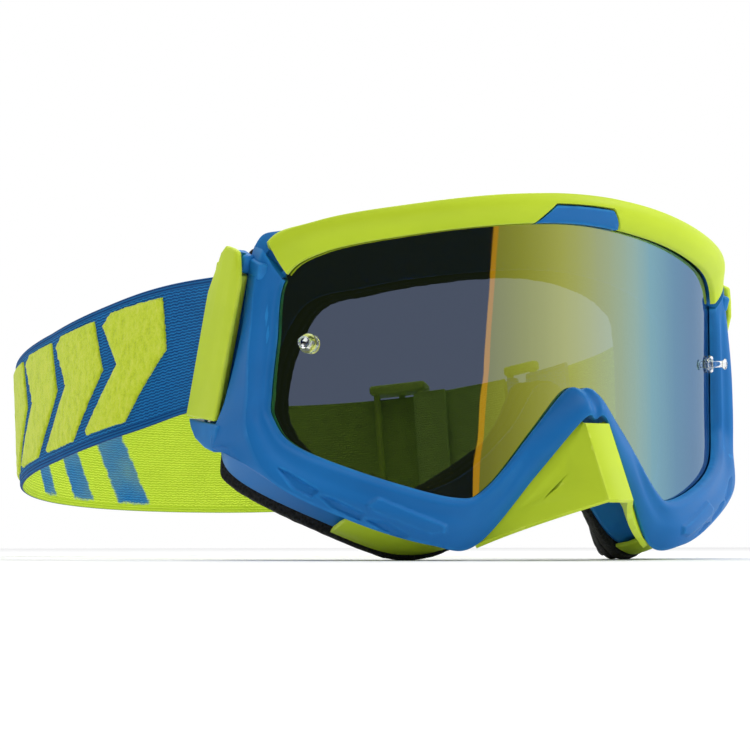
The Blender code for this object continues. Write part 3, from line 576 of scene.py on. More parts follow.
def brow_section(t, depth=2.0):
    s = station(t)
    start = notch(s["A"][0])
    wall_share = max(0.0, min(1.0, min(t, 2 * LAST - t) - BROW_FROM))
    outer = [front(t, start + (1 - start) * i / 20) for i in range(21)]
    inner = [front(t, start + (1 - start) * i / 6, depth) for i in range(7)]
    inner[0] = outer[0] - radial(outer[0]) * (1.5 if start == 0 else depth)
    w = s["C"].lerp(s["D"], 0.5)
    inward = (lens_offset(t, 0.0, RIM_R) - s["C"]).normalized()
    top = outer[-1].lerp(w, 0.2 + 0.8 * wall_share)
    top_in = inner[-1].lerp(w + inward * depth, 0.2 + 0.8 * wall_share)
    poly = [outer[0], outer[-1], top, top_in] + list(reversed(inner))
    corner = rounded([outer[-2], outer[-1], top], [0, 1.5, 0], 5)[1:-1]
    first = outer[0].lerp(inner[0], 0.3)
    return [first, outer[0].lerp(outer[1], 0.35)] + outer[1:-1] + corner + [corner[-1].lerp(top, 0.6), top.lerp(top_in, 0.12), top_in] + list(reversed(inner))


def build_brow():
    lo, hi = BROW_FROM + 0.12, 2 * LAST - BROW_FROM - 0.12
    corners = [insert_t(x) for x in (INSERT_HALF, 10.0, -10.0, -INSERT_HALF)]
    ts = [t for t in around(22, None, (lo, lo + 0.02, hi, hi - 0.02, *corners)) if lo <= t <= hi]
    o = shell("brow_cover", [brow_section(t) for t in ts], [lime], closed=False)
    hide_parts("brow_trim")
    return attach(o, "frame")


def build_insert():
    sections = []
    for k in range(57):
        x = 14.3 - 28.6 * k / 56
        t = insert_t(x)
        top = max(0.03, notch(x) - 0.075)
        outer = [front(t, top * q / 12) for q in range(13)]
        edge = smooth(0, 1.2, 14.3 - abs(x))
        outer = [p - radial(p) * (0.45 * (1 - edge) + (0.35 if i in (0, 12) else 0)) for i, p in enumerate(outer)]
        sections.append(outer + [p - radial(p) * 1.4 for p in reversed(outer)])
    o = shell("brow_middle", sections, [blue], closed=False)
    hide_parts("brow_centre_insert")
    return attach(o, "frame")


# ---------------------------------------------------------------- inner frame, foam and fleece
def inner_section(t):
    s = station(t)
    f, e = s["F"], s["E"]
    inward = (lens_offset(t, 0.0, RIM_R) - s["C"]).normalized()
    waist = s["D"] + inward * (WALL + 1.2 + 4.2 * pocket(t))
    f_in, e_out = shrink(f, e, WALL), shrink(e, f, 1.0)
    poly = [lens_offset(t, 1.2, SEAT_R), lens_offset(t, 3.4, SEAT_R), lens_offset(t, 3.4, SEAT_R - 1.6), waist,
            on_face(*f, -2.2), on_face(*f, 0.0), on_face(*e_out, 0.0), on_face(*e_out, -1.7), on_face(*f_in, -1.9),
            waist + inward * WALL, lens_offset(t, 1.8, SEAT_R - 2.4), lens_offset(t, 1.2, SEAT_R - 1.5)]
    return rounded(poly, [0.4, 0.4, 0.4, 1.6, 0.9, 0.5, 0.5, 0.5, 1.0, 1.4, 0.5, 0.4])


def build_inner():
    o = shell("frame_back", [inner_section(t) for t in around(12)], [blue])
    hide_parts("inner_frame")
    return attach(o, "frame")


def foam_ring(name, node, front_at, back_at, out_front, out_back, mat, round_back):
    sections = []
    for t in around(12):
        s = station(t)
        f, e = s["F"], s["E"]
        less = 1.0 - 0.7 * pocket(t)
        of, ob = shrink(f, e, -out_front * less), shrink(f, e, -out_back * less)
        ef, eb = shrink(e, f, 0.2), shrink(e, f, 1.4)
        om = shrink(f, e, -(out_front + out_back) / 2 * less - 0.75)
        em = shrink(e, f, -0.1)
        middle = (front_at + back_at) / 2
        outline = rounded([on_face(*of, front_at), on_face(*om, middle), on_face(*ob, back_at), on_face(*shrink(ob, eb, 6), back_at + 0.15), on_face(*shrink(eb, ob, 3), back_at + 0.1),
                           on_face(*eb, back_at), on_face(*em, middle), on_face(*ef, front_at)],
                          [0.8, 2.0, round_back, 1.5, 1.5, round_back, 1.5, 0.6], 4)
        sections.append(outline)
    rough = []
    for line in sections:
        rough.append([p + noise.noise_vector(p * 0.45) * 0.22 + noise.noise_vector(p * 1.7) * 0.08 for p in line])
    o = shell(name, rough, [mat], angle=70)
    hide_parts(node)
    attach(o, "frame")
    return o


def vent_foam():
    """Thin open-cell foam behind the vents: between the rim's wall and the back frame, over the brow."""
    out = []
    for name, lo, hi in (("vent_foam_brow", 10.9, 17.1),):
        sections = []
        for k in range(90):
            t = lo + (hi - lo) * k / 89
            s = station(t)
            inward = (lens_offset(t, 0.0, RIM_R) - s["C"]).normalized()
            a = s["D"] + inward * (WALL + 0.4)
            b = on_face(*shrink(s["F"], s["E"], 0.8), -2.6)
            thick = inward * 0.6
            q = a.lerp(b, 0.06)
            r = a.lerp(b, 0.94)
            sections.append([q, q.lerp(r, 0.5) - inward * 0.2, r, r + thick, q.lerp(r, 0.5) + thick, q + thick])
        out.append(shell(name, sections, [foam_black], closed=False, angle=70))
    for o in out:
        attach(o, "frame")


# ---------------------------------------------------------------- lens
def build_lens():
    bm = bmesh.new()
    points = []
    for t in around(10):
        p = lens_offset(t, 3.0, LENS_R)
        points.append((math.atan2(p.x, AXIS_Y - p.y), p.z))
    bm.faces.new([bm.verts.new((angle, 0, z)) for angle, z in points])
    for k in range(-57, 58):
        geom = list(bm.verts) + list(bm.edges) + list(bm.faces)
        bmesh.ops.bisect_plane(bm, geom=geom, dist=1e-7, plane_co=(math.radians(k + 0.1), 0, 0), plane_no=(1, 0, 0))
    up = bmesh.ops.extrude_face_region(bm, geom=list(bm.faces))
    for v in [v for v in up["geom"] if isinstance(v, bmesh.types.BMVert)]:
        v.co.y = LENS_T
    for v in bm.verts:
        v.co = place(cyl(v.co.x, LENS_R - v.co.y, v.co.z))
    bmesh.ops.recalc_face_normals(bm, faces=bm.faces)
    axis = place(Vector((0, AXIS_Y, 0)))
    for f in bm.faces:
        out = Vector((f.calc_center_median().x - axis.x, f.calc_center_median().y - axis.y, 0)).normalized()
        facing = f.normal.dot(out)
        f.material_index = 0 if facing > 0.9 else 1 if facing < -0.9 else 2
    o = finish_mesh("lens_bent", bm, [coat, lens_back, lens_edge], 30)
    cutters = [turned("cut", [(0, 4), (1.5, 4), (1.5, -4), (0, -4)], post_matrix(side), [lens_edge], 32) for side in (-1, 1)]
    union(o, cutters, "DIFFERENCE")
    smooth_again(o, 30)
    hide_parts("lens")
    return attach(o, "frame")


def post_matrix(side):
    angle = side * math.asin(POST_X / LENS_R)
    p = cyl(angle, LENS_R, POST_Z)
    return Matrix.Translation(p) @ radial(p).to_track_quat("Z", "Y").to_matrix().to_4x4()


def turned(name, profile, matrix, mats, steps=40):
    bm = bmesh.new()
    rings = []
    for r, z in profile:
        if r < 1e-6:
            rings.append([bm.verts.new(place(matrix @ Vector((0, 0, z))))])
        else:
            rings.append([bm.verts.new(place(matrix @ Vector((r * math.cos(2 * math.pi * k / steps), r * math.sin(2 * math.pi * k / steps), z)))) for k in range(steps)])
    for a, b in zip(rings, rings[1:]):
        for k in range(steps):
            q = [a[k % len(a)], a[(k + 1) % len(a)], b[(k + 1) % len(b)], b[k % len(b)]]
            bm.faces.new(list(dict.fromkeys(q)))
    return finish_mesh(name, bm, mats)


def ring_of(name, profile, matrix, mats, steps=40):
    """A turned ring: the profile is a closed loop."""
    bm = bmesh.new()
    rings = [[bm.verts.new(place(matrix @ Vector((r * math.cos(2 * math.pi * k / steps), r * math.sin(2 * math.pi * k / steps), z)))) for k in range(steps)] for r, z in profile]
    for a, b in zip(rings, rings[1:] + rings[:1]):
        for k in range(steps):
            bm.faces.new((a[k], a[(k + 1) % steps], b[(k + 1) % steps], b[k]))
    return finish_mesh(name, bm, mats)


def build_posts():
    for side, word in ((-1, "left"), (1, "right")):
        m = post_matrix(side)
        head = [(0, 6.4), (0.8, 6.32), (1.25, 6.2), (1.55, 5.98), (1.72, 5.7), (1.75, 5.5), (1.66, 5.22), (1.45, 5.02), (1.15, 4.9), (1.05, 4.7),
                (1.05, -1.6), (1.3, -1.72), (2.2, -1.76), (2.3, -1.9), (2.3, -2.3), (2.15, -2.42), (0, -2.5)]
        post = turned(f"post_{word}", head, m, [clear])
        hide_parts(f"tear_off_post_{word}")
        foot = ring_of(f"post_foot_{word}", [(1.4, 1.9), (2.2, 1.9), (2.32, 1.88), (2.8, 1.4), (2.9, 1.2), (2.9, 0.45), (2.78, 0.3), (1.4, 0.3)], m, [clear])
        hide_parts(f"post_collar_{word}")
        for o in (post, foot):
            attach(o, "frame")


# ---------------------------------------------------------------- nose guard and chin trims
def nose_point(u, v):
    s = station(1.0 + 2.0 * v)
    edge = s["C"] - (s["C"] - s["D"]).normalized() * 1.2 + Vector((0, 0, -0.4))
    ridge = Vector((4.2, -8.6 - 11.2 * v, 34.9 - 22.0 * v))
    return ridge.lerp(edge, u) + Vector((0, math.sin(math.pi * u) * (0.6 + 2.6 * v), 0))


def nose_relief(x, z):
    """How far the guard's front is pressed in, by its front view: a hollow on each flank with a crisp upper edge."""
    a = abs(x)
    hollow = inside([(8.2, 27.0), (9.6, 24.5), (20.5, 10.0), (9.2, 13.2), (7.2, 18.0)], a, z)
    return 1.15 * smooth(-0.2, 2.6, hollow)


def build_nose():
    cols, rows = 44, 60
    bm = bmesh.new()
    grid = []
    for j in range(rows + 1):
        v = j / rows
        half = [nose_point(i / cols, v) for i in range(cols + 1)]
        half = [Vector((p.x, p.y + nose_relief(p.x, p.z), p.z)) for p in half]
        crown = [Vector((half[0].x * k / 6, half[0].y - 0.5 * (1 - (k / 6) ** 2), half[0].z)) for k in range(6)]
        half = crown + half
        line = [Vector((-p.x, p.y, p.z)) for p in reversed(half[1:])] + half
        grid.append([bm.verts.new(place(p)) for p in line])
    for a, b in zip(grid, grid[1:]):
        for i in range(len(a) - 1):
            bm.faces.new((a[i], a[i + 1], b[i + 1], b[i]))
    bmesh.ops.recalc_face_normals(bm, faces=bm.faces)
    if sum(f.normal.y for f in bm.faces) > 0:
        bmesh.ops.reverse_faces(bm, faces=bm.faces)
    mesh = bpy.data.meshes.new("nose_cover")
    bm.to_mesh(mesh)
    bm.free()
    mesh.materials.append(lime)
    o = bpy.data.objects.new("nose_cover", mesh)
    bpy.context.scene.collection.objects.link(o)
    m = o.modifiers.new("t", "SOLIDIFY")
    m.thickness, m.offset, m.use_even_offset = 1.7 * MM, -1.0, False
    b = o.modifiers.new("b", "BEVEL")
    b.width, b.segments, b.limit_method, b.angle_limit = 0.45 * MM, 3, "ANGLE", math.radians(50)
    apply(o)
    # the small vent on each flank
    for side in (-1, 1):
        bm = bmesh.new()
        outline = [(9.0, 20.4), (11.0, 16.6), (14.6, 12.8)]
        face = bm.faces.new([bm.verts.new(place(Vector((side * x, -40.0, z)))) for x, z in outline])
        up = bmesh.ops.extrude_face_region(bm, geom=[face])
        bmesh.ops.translate(bm, vec=(0, 60 * MM, 0), verts=[v for v in up["geom"] if isinstance(v, bmesh.types.BMVert)])
        union(o, [finish_mesh("cut", bm, [lime])], "DIFFERENCE")
    smooth_again(o, 32)
    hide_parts("nose_guard")
    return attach(o, "frame")


def chin_section(t):
    s = station(t)
    f, e = s["F"], s["E"]
    low = shrink(f, e, -1.8)
    rear_o, rear_i = on_face(*low, -0.4), on_face(*shrink(f, e, -0.8), -0.4)
    d = s["D"]
    down = (Vector((low[0], 0, low[1])) - Vector((e[0], 0, e[1]))).normalized()
    front_o = d.lerp(rear_o, 0.12) + down * 0.4
    front_i = d.lerp(rear_i, 0.12) + Vector((0, 0.2, 0)) - down * 0.2
    mid_o = front_o.lerp(rear_o, 0.5) + down * 0.9
    mid_i = front_i.lerp(rear_i, 0.5) + down * 0.55
    return rounded([front_o, mid_o, rear_o, rear_i, mid_i, front_i], [0.35, 3, 0.35, 0.2, 2, 0.2], 4)


def build_chin():
    for side, word in ((-1, "left"), (1, "right")):
        secs = []
        for k in range(70):
            t = 3.15 + 1.7 * k / 69
            sec = chin_section(t)
            mid = sum(sec, Vector()) / len(sec)
            pinch = 0.35 + 0.65 * smooth(0, 0.10, min(t - 3.15, 4.85 - t))
            sec = [mid + (p - mid) * (pinch if k in (0, 69) else 1) for p in sec]
            secs.append([Vector((side * p.x, p.y, p.z)) for p in sec])
        o = shell(f"chin_strip_{word}", secs, [lime], closed=False)
        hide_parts(f"chin_trim_{word}")
        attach(o, "frame")


# ---------------------------------------------------------------- levers
def hinge_matrix(side):
    c, s = math.cos(HINGE_TILT), math.sin(HINGE_TILT)
    m = Matrix(((side, 0, 0), (0, c, -s), (0, s, c))).to_4x4()
    m.translation = Vector((side * HINGE_AT.x, HINGE_AT.y, HINGE_AT.z))
    return m


BAR, BAR_R = Vector((-3.0, 9.0, -2.6)), 1.4


def rod(matrix, at, radius, length, mats, sides=32, bevel=0.3):
    h = length / 2
    profile = [(0, h), (radius - bevel, h), (radius, h - bevel), (radius, -h + bevel), (radius - bevel, -h), (0, -h)]
    return turned("rod", profile, matrix @ Matrix.Translation(at), mats, sides)


def block(matrix, lo, hi, mats, bevel, segments=3):
    bm = bmesh.new()
    bmesh.ops.create_cube(bm, size=1.0)
    bmesh.ops.scale(bm, vec=[b - a for a, b in zip(lo, hi)], verts=bm.verts)
    bmesh.ops.translate(bm, vec=[(a + b) / 2 for a, b in zip(lo, hi)], verts=bm.verts)
    if bevel:
        bmesh.ops.bevel(bm, geom=list(bm.edges), offset=bevel, segments=segments, profile=0.5, affect="EDGES")
    for v in bm.verts:
        v.co = place(matrix @ v.co)
    return finish_mesh("block", bm, mats)


def spur(matrix):
    """The corner of the frame that runs on under the lever as a blunt tip."""
    bm = bmesh.new()
    face = bm.faces.new([bm.verts.new(Vector((-4.5, y, z))) for y, z in ((-10.5, -21.4), (-10.5, -29.8), (-4.0, -30.7), (3.0, -30.3), (8.5, -29.2), (13.0, -27.3))])
    up = bmesh.ops.extrude_face_region(bm, geom=[face])
    bmesh.ops.translate(bm, vec=(7.7, 0, 0), verts=[v for v in up["geom"] if isinstance(v, bmesh.types.BMVert)])
    bmesh.ops.recalc_face_normals(bm, faces=bm.faces)
    bmesh.ops.bevel(bm, geom=[e for e in bm.edges if len(e.link_faces) == 2 and e.calc_face_angle() > math.radians(40)], offset=0.9, segments=4, profile=0.5, affect="EDGES")
    for v in bm.verts:
        v.co.x -= 1.6 * smooth(0.0, 3.2, v.co.x) * smooth(2.0, 13.0, v.co.y)
        v.co = place(matrix @ v.co)
    return finish_mesh("spur", bm, [blue])


def build_lever(side, word):
    """The lime lever: a softly crowned plate with a stepped top, the hinge barrel, and the bar that takes the webbing."""
    f = hinge_matrix(side)
    outline = [(-6.5, -21.6), (12.6, -26.4), (11.0, 16.0), (10.0, 18.6), (8.6, 22.2), (7.6, 25.6), (5.2, 28.2), (1.6, 28.6), (-1.8, 28.6), (-4.2, 24.4), (-6.2, 20.0)]
    bm = bmesh.new()
    face = bm.faces.new([bm.verts.new(Vector((0.9, y, z))) for y, z in outline])
    up = bmesh.ops.extrude_face_region(bm, geom=[face])
    bmesh.ops.translate(bm, vec=(2.2, 0, 0), verts=[v for v in up["geom"] if isinstance(v, bmesh.types.BMVert)])
    bmesh.ops.recalc_face_normals(bm, faces=bm.faces)
    for k in range(-7, 13, 2):
        bmesh.ops.bisect_plane(bm, geom=list(bm.verts) + list(bm.edges) + list(bm.faces), plane_co=(0, k, 0), plane_no=(0, 1, 0))
    sharp = [e for e in bm.edges if len(e.link_faces) == 2 and e.calc_face_angle() > math.radians(60)]
    bmesh.ops.bevel(bm, geom=sharp, offset=0.8, segments=4, profile=0.5, affect="EDGES")
    for v in bm.verts:
        if v.co.x > 2.0:
            v.co.x -= 0.55 * smooth(2.0, 3.1, v.co.x) * min(1.0, ((v.co.y - 2.5) / 10.5) ** 2)
        v.co = place(f @ v.co)
    o = finish_mesh(f"lever_{word}_plate", bm, [lime])
    more = [rod(f, Vector((0, 0, 0)), 2.9, 43.0, [lime], 40)]
    more += [block(f, (-4.9, 7.0, z), (2.6, rear, z + tall), [lime], 0.4) for z, tall, rear in ((19.6, 2.6, 9.8), (-25.1, 1.4, 11.2))]
    more += [rod(f, BAR + Vector((0, 0, 0.6)), BAR_R, 45.6, [lime], 24)]
    union(o, more)
    union(o, [rod(f, Vector((0, 0, 0)), PIN_R + 0.2, 60.0, [lime], 32, 0.0)], "DIFFERENCE")
    smooth_again(o, 34)
    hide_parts(f"outrigger_{word}")
    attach(o, f"lever_{word}")
    pin = rod(f, Vector((0, 0, 0.3)), PIN_R, 51.2, [steel], 32, 0.25)
    pin.name = f"pin_{word}"
    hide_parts(f"hinge_pin_{word}")
    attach(pin, "frame")
    b = block(f, (-4.9, 0.5, -25.0), (-3.4, 3.9, 23.2), [blue], 0.35)
    b.name = f"bracket_{word}"
    union(b, [block(f, (-3.7, lead, z), (0.4, 4.9, z + tall), [blue], 1.1, 4) for lead, z, tall in ((-2.6, 22.2, 5.4), (-2.6, -27.4, 5.0))])
    union(b, [block(f, (-4.9, -9.0, 22.0), (-1.9, -1.6, 27.0), [blue], 1.0, 4)])
    union(b, [spur(f)])
    union(b, [rod(f, Vector((0, 0, 5.2)), PIN_R + 0.3, 61.4, [blue], 32, 0.0)], "DIFFERENCE")
    smooth_again(b, 34)
    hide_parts(f"hinge_bracket_{word}")
    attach(b, "frame")


# ---------------------------------------------------------------- strap
def strap_matrix():
    c, s = math.cos(STRAP_TILT), math.sin(STRAP_TILT)
    m = Matrix(((1, 0, 0), (0, c, s), (0, -s, c))).to_4x4()
    m.translation = STRAP_CENTRE
    return m


STRAP = strap_matrix()


def polar(deg, radius):
    a = math.radians(deg)
    return Vector((radius * math.cos(a), radius * math.sin(a), 0))


def bezier(p, n, first=0):
    return [p[0] * (1 - t) ** 3 + p[1] * 3 * t * (1 - t) ** 2 + p[2] * 3 * t * t * (1 - t) + p[3] * t ** 3
            for t in (i / n for i in range(first, n + 1))]


def side_run(side, steps=72, lean_over=52.0):
    to_strap = STRAP.inverted() @ hinge_matrix(side)
    turn = BAR_R + GAP + STRAP_T / 2
    start = to_strap @ (BAR + Vector((turn, 0, 0)))
    rear = (to_strap.to_3x3() @ Vector((0, 1, 0))).normalized()
    pin = (to_strap.to_3x3() @ Vector((0, 0, 1))).normalized()
    end = Vector((side * STRAP_R, 0, 0))
    path = bezier([start, start + (rear + Vector((side * 0.06, 1.6, -0.06))) * 9, end + Vector((side * 1.0, -40, 0)), end], steps)
    widths, gone = [], 0.0
    for i, p in enumerate(path):
        gone += (p - path[i - 1]).length if i else 0.0
        k = smooth(0, 1, gone / lean_over)
        widths.append((pin * (1 - k) + Vector((0, 0, 1)) * k).normalized())
    return path, widths


def lever_end(side):
    """The webbing's turn round the lever's bar and its hem, ending where side_run starts."""
    to_strap = STRAP.inverted() @ hinge_matrix(side)
    turn = BAR_R + GAP + STRAP_T / 2
    pin = (to_strap.to_3x3() @ Vector((0, 0, 1))).normalized()
    loop = [to_strap @ (BAR + Vector((turn * math.cos(a), turn * math.sin(a), 0))) for a in (-math.pi * k / 14 for k in range(1, 14))]
    hem = [to_strap @ (BAR + Vector((-turn + 0.02 * d, d, 0))) for d in (0.0, 1.5, 3.0, 4.5, 6.5, 8.5, 10.0)]
    points = list(reversed(hem)) + list(reversed(loop))
    return points, [pin] * len(points)


class Track:
    """A strap's centre line with its directions, read by length."""

    def __init__(self, path, ups):
        self.p, self.up = path, ups
        self.at = [0.0]
        for a, b in zip(path, path[1:]):
            self.at.append(self.at[-1] + (b - a).length)
        self.across, n = [], len(path)
        for i in range(n):
            a, b = path[max(0, i - 1)], path[min(n - 1, i + 1)]
            self.across.append((b - a).cross(ups[i]).normalized())

    def read(self, u, v, h):
        """The point u along, v across and h outwards from the middle of the webbing."""
        at = self.at
        lo, hi = 0, len(at) - 1
        u = max(0.0, min(at[-1], u))
        while hi - lo > 1:
            mid = (lo + hi) // 2
            if at[mid] <= u:
                lo = mid
            else:
                hi = mid
        k = (u - at[lo]) / max(1e-9, at[hi] - at[lo])
        p = self.p[lo].lerp(self.p[hi], k)
        up = self.up[lo].lerp(self.up[hi], k).normalized()
        out = -self.across[lo].lerp(self.across[hi], k).normalized()
        return STRAP @ (p + up * v + out * h)


def ribbon(name, track, mats, step=1.1, start_u=0.0, thick=STRAP_T, end_pad=True):
    """Webbing along a track: rounded woven edges, UV in metres, outer side material 0 and inner side material 1."""
    half_w, half_t = STRAP_W / 2, thick / 2
    n = 30
    ring = [(half_w - 0.7 - (STRAP_W - 1.4) * i / n, half_t) for i in range(n + 1)]
    ring += [(-half_w + 0.7 - 0.7 * math.sin(a), half_t * math.cos(a)) for a in (math.pi * k / 5 for k in range(1, 5))]
    ring += [(-half_w + 0.7 + (STRAP_W - 1.4) * i / n, -half_t) for i in range(n + 1)]
    ring += [(half_w - 0.7 + 0.7 * math.sin(a), -half_t * math.cos(a)) for a in (math.pi * k / 5 for k in range(1, 5))]
    total = track.at[-1]
    count = max(2, round(total / step))
    us = sorted(set([total * k / count for k in range(count + 1)]))
    bm = bmesh.new()
    layer = bm.loops.layers.uv.new("UVMap")
    rings, size = [], len(ring)
    for u in us:
        line = []
        for v, h in ring:
            swell = 0.10 * noise.noise(Vector((u * 0.09, v * 0.11, h)))
            line.append(bm.verts.new(place(track.read(u, v, h * (1.0 if abs(v) < 18.6 else 0.86) + swell * (1 if h > 0 else -1)))))
        rings.append(line)
    for j, (a, b) in enumerate(zip(rings, rings[1:])):
        for i in range(size):
            k = (i + 1) % size
            f = bm.faces.new((a[i], a[k], b[k], b[i]))
            f.material_index = 0 if ring[i][1] + ring[k][1] > 0 else 1
            for loop, (uu, vv) in zip(f.loops, ((us[j], ring[i][0]), (us[j], ring[k][0]), (us[j + 1], ring[k][0]), (us[j + 1], ring[i][0]))):
                loop[layer].uv = ((uu + start_u) * MM, vv * MM)
    for cap, u in ((rings[0], us[0]), (list(reversed(rings[-1])), us[-1])):
        f = bm.faces.new(cap)
        for loop in f.loops:
            loop[layer].uv = (u * MM, 0)
    return finish_mesh(name, bm, mats, 60)


def applique(name, track, outline, lift, thick, mat, seed=1, side=1.0):
    """A raised flocked shape on the webbing: the outline (along, across) is roughened, cut into a mesh and laid on the track."""
    rnd = random.Random(seed)
    edge = []
    for (x1, y1), (x2, y2) in zip(outline, outline[1:] + outline[:1]):
        d = math.hypot(x2 - x1, y2 - y1)
        n = max(1, round(d / 0.55))
        for k in range(n):
            j = 0.0 if k == 0 else 0.16
            edge.append((x1 + (x2 - x1) * k / n + rnd.uniform(-j, j), y1 + (y2 - y1) * k / n + rnd.uniform(-j, j)))
    bm = bmesh.new()
    face = bm.faces.new([bm.verts.new((x, y, 0)) for x, y in edge])
    bmesh.ops.inset_region(bm, faces=[face], thickness=0.45, depth=0)
    lo_x, hi_x = min(e[0] for e in edge), max(e[0] for e in edge)
    lo_y, hi_y = min(e[1] for e in edge), max(e[1] for e in edge)
    for axis, lo, hi in ((0, lo_x, hi_x), (1, lo_y, hi_y)):
        k = lo + 1.0
        while k < hi:
            co, no = [0, 0, 0], [0, 0, 0]
            co[axis], no[axis] = k, 1
            bmesh.ops.bisect_plane(bm, geom=list(bm.verts) + list(bm.edges) + list(bm.faces), plane_co=co, plane_no=no)
            k += 1.3
    rim = {v for e in bm.edges if len(e.link_faces) == 1 for v in e.verts}
    up = bmesh.ops.extrude_face_region(bm, geom=list(bm.faces))
    top = {v for v in up["geom"] if isinstance(v, bmesh.types.BMVert)}
    outer = {v for e in bm.edges for v in e.verts if False}
    flat = {}
    for v in bm.verts:
        flat[v] = (v.co.x, v.co.y)
    border = set()
    for f in bm.faces:
        zs = {v in top for v in f.verts}
        if len(zs) == 2:
            border |= {v for v in f.verts if v in top}
    for v in bm.verts:
        x, y = flat[v]
        if v in top:
            rise = thick * (0.55 if v in border else 1.0) + 0.16 * noise.noise(Vector((x * 1.3, y * 1.3, seed))) * (0 if v in border else 1)
        else:
            rise = -0.25
        v.co = place(track.read(x, y, side * (STRAP_T / 2 + lift + rise)))
    return finish_mesh(name, bm, [mat], 75)


def stitches(name, track, u, v0, v1, side, mat, pitch=2.1, half=STRAP_T / 2):
    """A row of stitches across the webbing, as one mesh."""
    bm = bmesh.new()
    v = v0
    while v < v1:
        a = track.read(u + 0.15, v, side * (half + 0.12))
        b = track.read(u - 0.15, v + pitch * 0.72, side * (half + 0.12))
        d = (b - a)
        m = d.to_track_quat("Z", "Y").to_matrix().to_4x4()
        m.translation = (a + b) / 2
        h = d.length / 2
        rings = []
        for z, r in ((-h, 0.06), (-h * 0.8, 0.2), (0, 0.25), (h * 0.8, 0.2), (h, 0.06)):
            rings.append([bm.verts.new(place(m @ Vector((r * math.cos(q), r * math.sin(q), z)))) for q in (2 * math.pi * k / 8 for k in range(8))])
        for r1, r2 in zip(rings, rings[1:]):
            for k in range(8):
                bm.faces.new((r1[k], r1[(k + 1) % 8], r2[(k + 1) % 8], r2[k]))
        bm.faces.new(list(reversed(rings[0])))
        bm.faces.new(rings[-1])
        v += pitch
    return finish_mesh(name, bm, [mat], 60)


